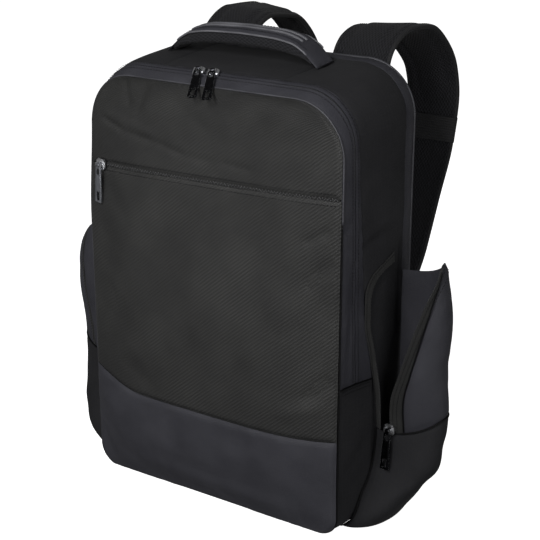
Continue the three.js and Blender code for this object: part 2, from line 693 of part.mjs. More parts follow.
function addRightPocket() {
  const side = 1;
  const baseRows = spread(0, 1, openBaseRows.length * 2 - 2);
  const tapeEnd = (up) => pocketTapeWidth / roundLength(openPocket, flapPoint, up);
  addPocketPanel('pocket_right_lower', 'poly', side, openPocket, basePoint, baseRows, () => 0, () => 1, 12);
  addPocketPanel('pocket_right_tape_flap', 'zipTape', side, openPocket, flapPoint, pocketRowSteps, () => 0, tapeEnd, 2);
  addPocketPanel('pocket_right_upper', 'coated', side, openPocket, flapPoint, pocketRowSteps, tapeEnd, () => 1, 10);
  const runPoint = (along, across) => {
    const at = (column) => readRows(openZipRun, along, column);
    const z = mix(at('baseUp'), at('edgeUp'), across) * pocketHeight;
    const y = depthAt(mix(at('baseBack'), at('edgeBack'), across));
    return vector(Math.max(mix(attachX(y, z), bagHalfWidth + at('edgeOut') * openReach, across), attachX(y, z)), y, z);
  };
  const facing = () => vector(0.6, -1, 0.3);
  const keepOff = (p) => p.setX(Math.max(p.x, sideX(p.y, p.z) + gap));
  const rows = spread(0, 1, (openZipRun.length - 1) * 2);
  const sheet = surfaceSheet(runPoint, rows, () => [0, 0.5, 1], pocketWall, facing, keepOff);
  addPiece('pocket_right_tape_bag', sheet, 'zipTape');
}

// The back panel and its pads

const backFaceY = rearY + gap / 2 + backPanelThickness;

function roundedRectangle(left, right, bottom, top, radius, y) {
  const corners = [
    [right - radius, top - radius, 0],
    [left + radius, top - radius, 1],
    [left + radius, bottom + radius, 2],
    [right - radius, bottom + radius, 3],
  ];
  return corners.flatMap(([x, z, quarter]) =>
    spread(quarter, quarter + 1, 3).map((turn) => {
      const angle = (turn * Math.PI) / 2;
      return vector(x + radius * Math.cos(angle), y, z + radius * Math.sin(angle));
    })
  );
}

function addBack() {
  const ring = (y) => stationsBetween(-baseStation, 10 - baseStation).slice(0, -1).map((s) => outlinePoint(rearY, s).setY(y));
  addPiece('back_panel', loftGeometry([ring(rearY + gap / 2), ring(backFaceY)]), 'mesh');
  const padLevels = [
    { out: 0, inset: 0 },
    { out: 0.6, inset: 0 },
    { out: 1, inset: backPadEdge },
  ];
  for (const [name, side] of [['back_pad_left', -1], ['back_pad_right', 1]]) {
    const near = side * (backPadChannel / 2);
    const far = side * (bagHalfWidth - backPadSideMargin);
    const rings = padLevels.map(({ out, inset }) =>
      roundedRectangle(
        Math.min(near, far) + inset,
        Math.max(near, far) - inset,
        backPadBottom + inset,
        bagHeight - backPadTopMargin - inset,
        backPadCorner - inset,
        backFaceY + gap + out * backPadThickness
      )
    );
    addPiece(name, loftGeometry(rings), 'mesh');
  }
}

// The handle: a padded arch with a ribbed cover

function addHandle() {
  const half = handleWidth / 2;
  const shares = spread(-1, 1, 22);
  const frameAt = (share, reach) => {
    const at = (column) => readTable(handleRows, 'across', Math.abs(share * reach), column);
    const x = handleShift + share * reach * handleHalfSpan;
    return { x, rise: at('rise') * handleRise, pad: at('pad') * handleThickness };
  };
  const meshReach = handleMeshHalfSpan / handleHalfSpan;
  const panelTop = (y) => bodyColumn(y, 'top') * bagHeight + gap;
  const place = (x, rise, section) =>
    section.map(([across, up]) => vector(x, handleBack + across, panelTop(handleBack + across) + rise + up));
  const meshRings = shares.map((share) => {
    const { x, rise, pad } = frameAt(share, meshReach);
    const inner = half - handleEdgeRound;
    const lower = [[-half, 0.4 * pad], [-inner, 0.06 * pad], [0, 0], [inner, 0.06 * pad], [half, 0.4 * pad]];
    return place(x, rise, [[-half, pad], ...lower, [half, pad]]);
  });
  const coverRings = shares.map((share) => {
    const { x, rise, pad } = frameAt(share, 1);
    const low = pad + gap;
    const high = low + handleCoverThickness;
    const rib = high + handleRibHeight * (1 - smoothstep(0.5, 0.8, Math.abs(share)));
    const edge = half + handleCoverThickness / 3;
    const right = [[half / 2, rib], [half - 2, high], [edge, mix(low, high, 0.5)], [edge, low]];
    const left = right.map(([y, h]) => [-y, h]).reverse();
    return place(x, rise, [...left, [0, high], ...right]);
  });
  addPiece('handle_mesh', loftGeometry(meshRings), 'mesh');
  addPiece('handle_top', loftGeometry(coverRings), 'coated');
}

// The shoulder straps, with their keepers, buckles, webbing and anchors

function strapCentre(side, share) {
  const at = (column) => readRows(strapPath, share, column);
  const y = backFaceY + gap + strapThickness / 2 + at('back') * strapReach;
  const label = side < 0 ? 'left' : 'right';
  return vector(side * at(`${label}Out`) * strapSpread, y, at(`${label}Up`) * bagHeight);
}

// The strap's place and directions: along it, across it, and square to its face.
function strapFrame(side, share) {
  const step = 1e-3;
  const after = strapCentre(side, Math.min(share + step, 1));
  const along = after.sub(strapCentre(side, Math.max(share - step, 0))).normalize();
  const twist = THREE.MathUtils.degToRad(side * readRows(strapPath, share, 'twist'));
  const level = vector(1, 0, 0).addScaledVector(along, -along.x).normalize();
  const across = level.applyAxisAngle(along, twist);
  const face = along.clone().cross(across);
  return { centre: strapCentre(side, share), along, across, face };
}

const framed = ({ centre, across, face }, a, f) =>
  centre.clone().addScaledVector(across, a).addScaledVector(face, f);

// A ring of points round the strap's rounded section, a margin outside it.
function strapRing(side, share, margin, angles) {
  const frame = strapFrame(side, share);
  const half = (strapWidth / 2) * readRows(strapPath, share, 'width') + margin;
  const thick = strapThickness / 2 + margin;
  return angles.map((angle) => {
    const [c, s] = [Math.cos(angle), Math.sin(angle)];
    return framed(frame, half * Math.sign(c) * Math.abs(c) ** 0.4, thick * Math.sign(s) * Math.abs(s) ** 0.7);
  });
}

const fullTurn = 2 * Math.PI;
const strapSteps = 31;
const ringAngles = spread(0, fullTurn, 14).slice(0, -1);

function addStrap(label, side) {
  const rings = spread(0, 1, strapSteps).map((share) => strapRing(side, share, 0, ringAngles));
  addPiece(`strap_${label}`, loftGeometry(rings), 'mesh');

  const seamAngle = fullTurn / 4;
  const keeperAngles = spread(seamAngle + 0.01, seamAngle + fullTurn - 0.01, 14);
  const strapLength = lengthOf(spread(0, 1, strapSteps).map((share) => strapCentre(side, share)));
  const keeperShares = spread(-keeperLength / 2, keeperLength / 2, 2).map((l) => keeperPlace + l / strapLength);
  const keeperRing = (margin) => keeperShares.map((share) => strapRing(side, share, margin, keeperAngles));
  const keeper = sheetGeometry(keeperRing(2 * gap + keeperThickness), keeperRing(2 * gap));
  addPiece(`strap_keeper_${label}`, keeper, 'webbing');

  const end = strapFrame(side, 1);
  const buckleCentre = end.centre.clone().addScaledVector(end.along, gap + buckleLength / 2);
  const basis = new THREE.Matrix4().makeBasis(end.across, end.along, end.across.clone().cross(end.along));
  basis.setPosition(buckleCentre);
  const buckle = buckleGeometry();
  buckle.applyMatrix4(basis);
  addPiece(`strap_buckle_${label}`, buckle, 'plastic');

  const slot = buckleCentre.clone().addScaledVector(end.along, (buckleLength - buckleBar) / 4);
  const step = buckleThickness * 1.2;
  const slanted = (amount) => slot.clone().addScaledVector(end.along, amount).addScaledVector(end.face, amount);
  const anchorY = backFaceY + gap + anchorThickness / 2;
  const anchor = vector(side * anchorSpread, anchorY, anchorHeight + anchorLength + gap);
  const route = new THREE.CatmullRomCurve3([
    slanted(-step),
    slot,
    slanted(step),
    slanted(step).lerp(anchor, 0.45),
    anchor.clone().add(vector(0, anchorThickness, anchorLength)),
    anchor,
  ]);
  const webbingRings = spread(0, 1, 20).map((share) => {
    const along = route.getTangent(share);
    const across = vector(1, 0, 0).addScaledVector(along, -along.x).normalize();
    const frame = { centre: route.getPoint(share), across, face: along.clone().cross(across) };
    const [w, t] = [webbingWidth / 2, webbingThickness / 2];
    return [[-w, -t], [w, -t], [w, t], [-w, t]].map(([a, f]) => framed(frame, a, f));
  });
  addPiece(`strap_webbing_${label}`, loftGeometry(webbingRings), 'webbing');

  const tab = new THREE.BoxGeometry(anchorWidth, anchorThickness, anchorLength);
  tab.translate(side * anchorSpread, anchorY, anchorHeight + anchorLength / 2);
  addPiece(`strap_anchor_${label}`, tab, 'webbing');
}

// A ladder-lock buckle: a flat frame with two slots, each a little wider than the webbing.
function buckleGeometry() {
  const slotHalf = webbingWidth / 2 + buckleClearance;
  const half = slotHalf + buckleBar;
  const slotLength = (buckleLength - 3 * buckleBar) / 2;
  const shape = rectangle(-half, half, -buckleLength / 2, buckleLength / 2);
  for (const low of [buckleBar / 2, -buckleBar / 2 - slotLength]) {
    shape.holes.push(rectangle(-slotHalf, slotHalf, low, low + slotLength));
  }
  return plate(shape, -buckleThickness / 2, buckleThickness);
}

function rectangle(left, right, low, high) {
  const corners = [[left, low], [right, low], [right, high], [left, high]];
  return new THREE.Shape(corners.map(([x, y]) => new THREE.Vector2(x, y)));
}

function plate(shape, from, thickness) {
  const geometry = new THREE.ExtrudeGeometry(shape, { depth: thickness, bevelEnabled: false, curveSegments: 6 });
  return geometry.translate(0, 0, from);
}

// Zip sliders: x runs along the pin, y down the pull tab, z away from the fabric

const knuckleRadius = pinRadius + pinClearance + knuckleWall;
const pinHeight = sliderThickness + knuckleRadius + pinClearance;
const earInner = knuckleWidth / 2 + pinClearance;
const pinSides = 12;

function barrel(radius, length, hole = 0) {
  const ring = new THREE.Shape().absarc(0, 0, radius, 0, fullTurn);
  if (hole) ring.holes.push(new THREE.Path().absarc(0, 0, hole, 0, fullTurn, true));
  const options = { depth: length, bevelEnabled: false, curveSegments: pinSides };
  const geometry = new THREE.ExtrudeGeometry(ring, options);
  return geometry.translate(0, 0, -length / 2).rotateY(Math.PI / 2);
}

function sliderGeometry() {
  const [halfWidth, halfLength] = [sliderWidth / 2, sliderLength / 2];
  const nose = halfWidth * 0.6;
  const outline = [
    [-halfWidth, halfLength * 0.5],
    [-halfWidth, -halfLength * 0.5],
    [-nose, -halfLength],
    [nose, -halfLength],
    [halfWidth, -halfLength * 0.5],
    [halfWidth, halfLength * 0.5],
    [nose, halfLength],
    [-nose, halfLength],
  ];
  const shape = new THREE.Shape(outline.map(([x, y]) => new THREE.Vector2(x, y)));
  const ears = [-1, 1].map((side) => {
    const ear = new THREE.BoxGeometry(earThickness, earLength, pinHeight + pinRadius - sliderThickness / 2);
    return ear.translate(side * (earInner + earThickness / 2), 0, (pinHeight + pinRadius + sliderThickness / 2) / 2);
  });
  const pin = barrel(pinRadius, 2 * earInner + earThickness).translate(0, 0, pinHeight);
  return joined([plate(shape, 0, sliderThickness), ...ears, pin]);
}

function pullGeometry() {
  const neckStart = Math.hypot(earLength / 2, pullThickness / 2) + 2 * pinClearance;
  const neck = pullNeckWidth / 2;
  const tip = pullWidth / 2;
  const corner = pullRim / 2;
  const outline = [
    [-neck, neckStart],
    [neck, neckStart],
    [tip, pullLength - corner],
    [tip - corner, pullLength],
    [corner - tip, pullLength],
    [-tip, pullLength - corner],
  ];
  const shape = new THREE.Shape(outline.map(([x, y]) => new THREE.Vector2(x, y)));
  shape.holes.push(rectangle(pullRim - neck, neck - pullRim, neckStart + pullRim, pullEyeEnd));
  shape.holes.push(rectangle(pullRim - neck, neck - pullRim, pullWindowStart, pullLength - pullRim));
  const tongueStart = pinRadius + pinClearance + knuckleWall / 3;
  const tongue = rectangle(-knuckleWidth / 2, knuckleWidth / 2, tongueStart, neckStart + pullRim / 2);
  const flat = [shape, tongue].map((outlined) => plate(outlined, -pullThickness / 2, pullThickness));
  return joined([barrel(knuckleRadius, knuckleWidth, pinRadius + pinClearance), ...flat]);
}

// Sets a slider on the fabric at a point, with its pull hanging one way and swung by some degrees.
function addZipPull(sliderName, pullName, point, outward, hang, swing) {
  const z = outward.clone().normalize();
  const y = hang.clone().addScaledVector(z, -hang.dot(z)).normalize();
  const x = y.clone().cross(z);
  const seat = new THREE.Group();
  seat.applyMatrix4(new THREE.Matrix4().makeBasis(x, y, z).setPosition(point.clone().addScaledVector(z, gap)));
  bag.add(seat);
  addPiece(sliderName, sliderGeometry(), 'metal', seat);
  const hinge = new THREE.Group();
  hinge.position.z = pinHeight;
  hinge.rotation.x = THREE.MathUtils.degToRad(swing);
  seat.add(hinge);
  addPiece(pullName, pullGeometry(), 'metal', hinge);
}

const frontFace = (x, z) => vector(x, frontFaceY(x, z), z);
const bodyFace = (station, y) => outlinePoint(y, station);

function addZipPulls() {
  mainSliders.forEach((x, i) => {
    const station = 5 - x / (bagHalfWidth - topCornerRadius);
    const point = bodyFace(station, zipY(station));
    const outward = normalOf(bodyFace, station, point.y, vector(0, 0, 1));
    addZipPull(`main_zip_slider_${i + 1}`, `main_zip_pull_${i + 1}`, point, outward, mainHang, mainSwing);
  });

  const front = frontFace(frontZipStart, zipLineZ(frontZipStart));
  const frontOut = normalOf(frontFace, front.x, front.z, vector(0, -1, 0));
  addZipPull('front_zip_slider', 'front_zip_pull', front, frontOut, frontHang, frontSwing);

  const flapFace = (up, share) => flapPoint(openPocket, up, share);
  const open = flapFace(openSliderUp, 0);
  const openOut = normalOf(flapFace, openSliderUp, 0.01, vector(0, -1, 0));
  addZipPull('pocket_right_slider', 'pocket_right_pull', open, openOut, vector(0, 0, -1), openSwing);

  const leftFace = (up, round) => closedPoint(closedPocket, up, round).multiply(vector(-1, 1, 1));
  const zip = readTable(closedPocketRows, 'up', closedSliderUp, 'zip');
  const closedOut = normalOf(leftFace, closedSliderUp, zip, vector(-1, 0, 1));
  addZipPull('pocket_left_slider', 'pocket_left_pull', leftFace(closedSliderUp, zip), closedOut, closedHang, 0);
}

addBody();
addFront();
addLeftPocket();
addRightPocket();
addBack();
addHandle();
addStrap('left', -1);
addStrap('right', 1);
addZipPulls();

export default bag;
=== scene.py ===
# A laptop backpack that stands on its base: the sewn panels, zips, straps and handle as cloth.
# Lengths are millimetres until a mesh is made, where they become metres.
import json
import math

import bmesh
import bpy
from mathutils import Matrix, Vector, noise

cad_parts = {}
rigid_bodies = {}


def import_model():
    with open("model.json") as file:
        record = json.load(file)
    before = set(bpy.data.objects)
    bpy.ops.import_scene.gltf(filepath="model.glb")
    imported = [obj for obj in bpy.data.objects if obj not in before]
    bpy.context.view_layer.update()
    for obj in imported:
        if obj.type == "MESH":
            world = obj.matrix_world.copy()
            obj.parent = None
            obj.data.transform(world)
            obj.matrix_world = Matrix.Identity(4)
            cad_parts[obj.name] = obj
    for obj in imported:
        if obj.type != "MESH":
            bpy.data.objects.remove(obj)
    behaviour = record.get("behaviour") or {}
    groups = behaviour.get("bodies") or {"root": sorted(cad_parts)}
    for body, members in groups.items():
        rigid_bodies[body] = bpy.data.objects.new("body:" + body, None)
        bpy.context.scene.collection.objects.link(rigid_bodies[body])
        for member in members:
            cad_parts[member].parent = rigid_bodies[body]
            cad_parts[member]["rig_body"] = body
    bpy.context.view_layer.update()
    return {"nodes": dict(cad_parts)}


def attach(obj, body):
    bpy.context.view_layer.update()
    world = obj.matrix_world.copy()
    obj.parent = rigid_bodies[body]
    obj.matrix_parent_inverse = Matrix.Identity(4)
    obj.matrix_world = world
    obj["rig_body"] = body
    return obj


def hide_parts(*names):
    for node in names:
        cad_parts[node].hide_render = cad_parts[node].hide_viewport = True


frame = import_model()
print("frame loaded:", len(frame["nodes"]), "nodes")

def toLinear(hexColour):
    channels = [int(hexColour[i:i + 2], 16) / 255 for i in (0, 2, 4)]
    return [c / 12.92 if c <= 0.04045 else ((c + 0.055) / 1.055) ** 2.4 for c in channels] + [1.0]


def addNode(tree, kind, out=0, inputs=None, **settings):
    # sets a node's values or links and gives back one of its outputs
    node = tree.nodes.new("ShaderNode" + kind)
    for name, value in settings.items():
        setattr(node, name, value)
    for key, value in (inputs or {}).items():
        if isinstance(value, bpy.types.NodeSocket):
            tree.links.new(value, node.inputs[key])
        else:
            node.inputs[key].default_value = value
    return node.outputs[out]


def startMaterial(name, onCloth=True, **shaderValues):
    # cloth is patterned along its own length and width, hard pieces in the bag's space, both in millimetres
    material = bpy.data.materials.new(name)
    material.use_nodes = True
    tree = material.node_tree
    shader = tree.nodes["Principled BSDF"]
    for socket, value in shaderValues.items():
        shader.inputs[socket.replace("_", " ")].default_value = value
    if onCloth:
        return material, tree, shader, addNode(tree, "UVMap", "UV", uv_map="millimetres")
    metres = addNode(tree, "TexCoord", "Object")
    return material, tree, shader, addNode(tree, "VectorMath", 0, {0: metres, 1: (1000, 1000, 1000)},
                                           operation="MULTIPLY")


def threadLines(tree, where, period, turn, distort=0.0):
    # ridges side by side: a wave texture repeats every 0.314 / scale
    turned = addNode(tree, "Mapping", 0, {"Vector": where, "Rotation": (0, 0, math.radians(turn))})
    values = {"Vector": turned, "Scale": 0.314 / period, "Distortion": distort, "Detail": 1.0}
    return addNode(tree, "TexWave", "Fac", values)


def plainWeave(tree, where, period):
    crossed = [threadLines(tree, where, period, turn) for turn in (0, 90)]
    return addNode(tree, "Math", 0, {0: crossed[0], 1: crossed[1]}, operation="MULTIPLY")


def finishSurface(tree, shader, tone, dark, light, rough, height, depth):
    # the tone picks between two colours, and the height raises the surface by depth in metres
    colour = addNode(tree, "Mix", 2, {0: tone, 6: dark, 7: light}, data_type="RGBA")
    bump = addNode(tree, "Bump", 0, {"Height": height, "Distance": depth, "Strength": 1.0})
    for value, socket in ((colour, "Base Color"), (rough, "Roughness"), (bump, "Normal")):
        tree.links.new(value, shader.inputs[socket])


def shaded(colour, factor):
    return [min(c * factor, 1) for c in colour[:3]] + [1]


finish = {
    "ribFabric": {"dark": "1a1a1a", "light": "2b2b2a", "rib": 3.1, "turn": 50, "thread": 1.3, "cloud": 55,
                  "patch": 90},
    "coatedFabric": {"dark": "26262b", "light": "313136", "grain": 1.1, "cloud": 48, "rub": 22, "pebble": 5},
    "sideFabric": {"dark": "18181a", "light": "202022", "thread": 1.2, "grid": 6, "cloud": 60},
    "spacerMesh": {"dark": "0c0c0e", "light": "1d1d20", "cell": 2.4, "turn": 40, "cloud": 20},
    "zipTape": {"dark": "131313", "light": "1f1f1e", "thread": 0.9, "turn": 40, "rough": 0.75},
    "webbing": {"dark": "0b0b0c", "light": "151517", "thread": 2.2, "turn": 90, "rough": 0.7},
    # the piping colour is paler than the coated fabric: partly a painted highlight
    "piping": {"dark": "3c3c40", "light": "5c5c60"},
    "edgeCord": {"dark": "27272b", "light": "38383d"},
    "thread": {"colour": "1a1a1b"},
    # near-black colour of the cords that paint the shade in seams
    "seamShadeCord": {"colour": "060607"},
}


# MapRange sockets, where numbered: value, from low, from high, to low, to high
def makeRibFabric():
    # polyester woven with a fine rib, drawn coarser than it is: matt threads, with the colour lighter along
    # each rib as a painted sheen line
    own = finish["ribFabric"]
    material, tree, shader, where = startMaterial(
        "woven rib polyester", IOR=1.5, Specular_IOR_Level=0.18, Sheen_Weight=0.01)
    clouds = addNode(tree, "TexNoise", "Fac", {"Vector": where, "Scale": 1 / own["cloud"], "Detail": 3.0})
    patches = addNode(tree, "TexNoise", "Fac", {"Vector": where, "Scale": 1 / own["patch"], "Detail": 2.0})
    rib = threadLines(tree, where, own["rib"], own["turn"], 0.6)  # real ribs are 0.8 mm apart
    patch = addNode(tree, "MapRange", 0, {0: patches, 1: 0.42, 2: 0.62, 3: 0.0, 4: 1.0})
    # each rib is painted lighter where the patches let it show: a painted sheen line
    shown = addNode(tree, "Math", 0, {0: rib, 1: patch}, operation="MULTIPLY")
    ground = addNode(tree, "MapRange", 0, {0: clouds, 1: 0.3, 2: 0.7, 3: 0.1, 4: 0.45})
    tone = addNode(tree, "Math", 0, {0: shown, 1: 0.55, 2: ground}, operation="MULTIPLY_ADD")
    rough = addNode(tree, "MapRange", 0, {0: shown, 3: 0.52, 4: 0.42})
    weave = plainWeave(tree, where, own["thread"])
    height = addNode(tree, "Math", 0, {0: weave, 1: 0.7, 2: rib}, operation="MULTIPLY_ADD")
    finishSurface(tree, shader, tone, toLinear(own["dark"]), toLinear(own["light"]), rough, height, 0.00026)
    return material


def makeCoatedFabric():
    # fabric coated with polyurethane: a soft pebbled grain with a satin skin
    own = finish["coatedFabric"]
    material, tree, shader, where = startMaterial("polyurethane coated fabric", IOR=1.48,
                                                  Specular_IOR_Level=0.22)
    cells = addNode(tree, "TexVoronoi", "Distance", {"Vector": where, "Scale": 1 / own["grain"]},
                    feature="DISTANCE_TO_EDGE")
    clouds, rubs, pebbles = [
        addNode(tree, "TexNoise", "Fac", {"Vector": where, "Scale": 1 / own[size], "Detail": 3.0})
        for size in ("cloud", "rub", "pebble")]
    tone = addNode(tree, "MapRange", 0, {0: clouds, 1: 0.3, 2: 0.7, 3: 0.0, 4: 1.0})
    rough = addNode(tree, "MapRange", 0, {0: rubs, 1: 0.35, 2: 0.65, 3: 0.52, 4: 0.6})
    grain = addNode(tree, "MapRange", 0, {0: cells, 1: 0.0, 2: 0.25, 3: 0.0, 4: 1.0})
    height = addNode(tree, "Math", 0, {0: pebbles, 1: 0.9, 2: grain}, operation="MULTIPLY_ADD")
    finishSurface(tree, shader, tone, toLinear(own["dark"]), toLinear(own["light"]), rough, height, 0.00016)
    return material


def makeSideFabric():
    # ripstop polyester: a plain matt weave with a faint square grid of thicker threads
    own = finish["sideFabric"]
    material, tree, shader, where = startMaterial(
        "ripstop polyester", IOR=1.5, Specular_IOR_Level=0.15, Sheen_Weight=0.01)
    lines = [addNode(tree, "MapRange", 0, {0: threadLines(tree, where, own["grid"], turn), 1: 0.93, 2: 1.0,
                                           3: 0, 4: 1})
             for turn in (0, 90)]
    square = addNode(tree, "Math", 0, {0: lines[0], 1: lines[1]}, operation="MAXIMUM")
    noisy = addNode(tree, "TexNoise", "Fac", {"Vector": where, "Scale": 1 / own["cloud"], "Detail": 3.0})
    clouds = addNode(tree, "MapRange", 0, {0: noisy, 1: 0.3, 2: 0.7, 3: 0.0, 4: 0.8})
    tone = addNode(tree, "Math", 0, {0: square, 1: 0.2, 2: clouds}, operation="MULTIPLY_ADD")
    rough = addNode(tree, "MapRange", 0, {0: clouds, 3: 0.8, 4: 0.68})
    weave = plainWeave(tree, where, own["thread"])
    height = addNode(tree, "Math", 0, {0: square, 1: 0.8, 2: weave}, operation="MULTIPLY_ADD")
    finishSurface(tree, shader, tone, toLinear(own["dark"]), toLinear(own["light"]), rough, height, 0.00016)
    return material


def makeSpacerMesh():
    # knitted spacer mesh: rows of open cells over a darker ground, drawn coarser than the real knit
    own = finish["spacerMesh"]
    material, tree, shader, where = startMaterial(
        "knitted spacer mesh", IOR=1.5, Specular_IOR_Level=0.2, Sheen_Weight=0.03)
    turned = {"Vector": where, "Scale": (1.0, 0.6, 1.0), "Rotation": (0, 0, math.radians(own["turn"]))}
    values = {"Vector": addNode(tree, "Mapping", 0, turned), "Scale": 1 / own["cell"], "Randomness": 0.1}
    cells = addNode(tree, "TexVoronoi", "Distance", values)
    yarn = addNode(tree, "MapRange", 0, {0: cells, 1: 0.25, 2: 0.55, 3: 0.0, 4: 1.0})
    clouds = addNode(tree, "TexNoise", "Fac", {"Vector": where, "Scale": 1 / own["cloud"], "Detail": 3.0})
    rough = addNode(tree, "MapRange", 0, {0: clouds, 3: 0.85, 4: 0.95})
    finishSurface(tree, shader, yarn, toLinear(own["dark"]), toLinear(own["light"]), rough, yarn, 0.0005)
    return material


def makeTape(name, own):
    # close-woven nylon: ribs across the tape with finer threads between
    material, tree, shader, where = startMaterial(name, IOR=1.5, Specular_IOR_Level=0.3, Sheen_Weight=0.03)
    rib = threadLines(tree, where, own["thread"], own["turn"], 0.3)
    cross = threadLines(tree, where, own["thread"], own["turn"] + 90)
    clouds = addNode(tree, "TexNoise", "Fac", {"Vector": where, "Scale": 1 / 15, "Detail": 3.0})
    ground = addNode(tree, "MapRange", 0, {0: clouds, 1: 0.3, 2: 0.7, 3: 0.0, 4: 0.7})
    tone = addNode(tree, "Math", 0, {0: rib, 1: 0.3, 2: ground}, operation="MULTIPLY_ADD")
    rough = addNode(tree, "MapRange", 0, {0: rib, 3: own["rough"] + 0.08, 4: own["rough"]})
    height = addNode(tree, "Math", 0, {0: cross, 1: 0.5, 2: rib}, operation="MULTIPLY_ADD")
    finishSurface(tree, shader, tone, toLinear(own["dark"]), toLinear(own["light"]), rough, height, 0.0003)
    return material


def makePiping(name, own):
    # a cord wrapped in coated fabric, coloured paler than the fabric: the paler colour stands partly for the
    # light its round back catches, a painted highlight
    material, tree, shader, where = startMaterial(name, IOR=1.48, Specular_IOR_Level=0.4)
    noisy, grain = [addNode(tree, "TexNoise", "Fac", {"Vector": where, "Scale": 1 / size, "Detail": 3.0})
                    for size in (30, 2.0)]
    clouds = addNode(tree, "MapRange", 0, {0: noisy, 1: 0.3, 2: 0.7, 3: 0.0, 4: 1.0})
    rough = addNode(tree, "MapRange", 0, {0: clouds, 3: 0.45, 4: 0.6})
    finishSurface(tree, shader, clouds, toLinear(own["dark"]), toLinear(own["light"]), rough, grain, 0.0002)
    return material


def makeThread(name, own):
    # nylon sewing thread, and the near-black cord laid in seams as painted shade: plies twisted round each
    # other
    material, tree, shader, where = startMaterial(name, IOR=1.53, Specular_IOR_Level=0.1)
    ply = threadLines(tree, where, 0.8, 35)
    base = toLinear(own["colour"])
    rough = addNode(tree, "MapRange", 0, {0: ply, 3: 0.62, 4: 0.48})
    finishSurface(tree, shader, ply, shaded(base, 0.6), base, rough, ply, 0.0001)
    return material


def makeMoulded(name, hexColour, rough, grain, **values):
    # moulded plastic: an even colour with a fine spark-eroded texture
    material, tree, shader, where = startMaterial(name, False, **values)
    speck = addNode(tree, "TexNoise", "Fac", {"Vector": where, "Scale": 1 / grain, "Detail": 4.0})
    base = toLinear(hexColour)
    uneven = addNode(tree, "MapRange", 0, {0: speck, 3: rough - 0.06, 4: rough + 0.08})
    finishSurface(tree, shader, speck, shaded(base, 0.85), shaded(base, 1.15), uneven, speck, 0.00004)
    return material


def makePlated(name, hexColour, rough, metallic=1.0):
    # die-cast zinc, plated: smooth, with slight handling marks where it is rubbed; on the polished edges a
    # lower metallic mixes in a pale matt colour, a painted glint that stays bright from every side
    material, tree, shader, where = startMaterial(name, False, Metallic=metallic)
    rubbed = addNode(tree, "TexNoise", "Fac", {"Vector": where, "Scale": 1 / 3.5, "Detail": 5.0})
    base = toLinear(hexColour)
    uneven = addNode(tree, "MapRange", 0, {0: rubbed, 1: 0.35, 2: 0.7, 3: rough, 4: rough + 0.12})
    finishSurface(tree, shader, rubbed, shaded(base, 0.82), base, uneven, rubbed, 0.00003)
    return material


look = {
    "ripstop": makeRibFabric(),
    "coated": makeCoatedFabric(),
    "poly": makeSideFabric(),
    "mesh": makeSpacerMesh(),
    "zipTape": makeTape("woven zip tape", finish["zipTape"]),
    "webbing": makeTape("woven nylon webbing", finish["webbing"]),
    "piping": makePiping("coated fabric piping with painted highlight", finish["piping"]),
    "edge": makePiping("coated fabric edge cord", finish["edgeCord"]),
    "thread": makeThread("bonded nylon thread", finish["thread"]),
    # the near-black seam cord is laid in seams and under the base's edge as painted shade
    "seam": makeThread("near-black cord as painted seam shade", finish["seamShadeCord"]),
    "coil": makeMoulded("nylon zip coil", "1d1d1e", 0.42, 2.0, IOR=1.53),
    "plastic": makeMoulded("moulded acetal", "161617", 0.45, 1.5, IOR=1.48),
    "metal": makePlated("black nickel plating", "242427", 0.2),
    "bright": makePlated("polished nickel plating", "d9dadd", 0.22),
    "satin": makePlated("brushed nickel plating", "8d8f95", 0.34),
    # the polished edges of the pulls, pale and partly matt so they stay bright from any side: a painted glint
    "rim": makePlated("tumbled nickel plating", "d4d5d8", 0.4, 0.45),
}
print("materials made")

def mix(a, b, t):
    return a + (b - a) * t


def smoothstep(low, high, at):
    t = min(max((at - low) / (high - low), 0), 1)
    return t * t * (3 - 2 * t)


def spread(start, end, steps):
    return [mix(start, end, i / steps) for i in range(steps + 1)]


def readTable(table, key, at, column):
    # a smooth curve through one column that never overshoots
    last = len(table) - 1
    if at <= table[0][key]:
        return table[0][column]
    if at > table[last][key]:
        return table[last][column]
    upper = next(i for i, row in enumerate(table) if row[key] >= at)
    lower = upper - 1

    def rise(i):
        return (table[i + 1][column] - table[i][column]) / (table[i + 1][key] - table[i][key])

    def slope(i):
        if i == 0:
            return rise(0)
        if i == last:
            return rise(last - 1)
        product = rise(i - 1) * rise(i)
        return 0 if product <= 0 else 2 * product / (rise(i - 1) + rise(i))

    span = table[upper][key] - table[lower][key]
    t = (at - table[lower][key]) / span
    ease = t * t * (3 - 2 * t)
    low, high = table[lower][column], table[upper][column]
    return (mix(low, high, ease) + (t ** 3 - 2 * t ** 2 + t) * span * slope(lower)
            + (t ** 3 - t ** 2) * span * slope(upper))


def rowsOf(columns, *rows):
    return [dict(zip(columns.split(), row)) for row in rows]


def numbered(table):
    return [dict(row, at=i / (len(table) - 1)) for i, row in enumerate(table)]


bag = {
    "height": 467, "halfWidth": 156, "depth": 140, "topCorner": 54, "bottomCorner": 22,
    "wall": 2.8, "gap": 0.4,
    "bulge": 21, "zipHeight": 356, "zipRise": 3, "slump": 7, "zipOpening": 5, "zipStart": -131,
    "baseSeam": 110, "baseSweep": 13,
    "gussetSeam": 165, "seamDrop": 24, "mainZip": 3, "topPanelHalf": 72, "rearBand": 22,
}
bodySections = rowsOf(
    "depth width top bottom",
    (0.0, 0.994, 0.96, 0.005), (0.18, 1.006, 0.983, 0.001), (0.26, 1.01, 0.987, 0.0),
    (0.55, 1.026, 0.993, 0.0), (0.84, 1.006, 1.0, 0.0), (1.0, 0.984, 0.997, 0.0),
)
seamLines = rowsOf(
    "height zip seam",
    (0.0, 0.21, 0.45), (0.25, 0.21, 0.46), (0.33, 0.2, 0.43), (0.44, 0.18, 0.38), (0.52, 0.17, 0.3),
    (0.6, 0.165, 0.27), (0.75, 0.15, 0.225), (1.0, 0.12, 0.175),
)
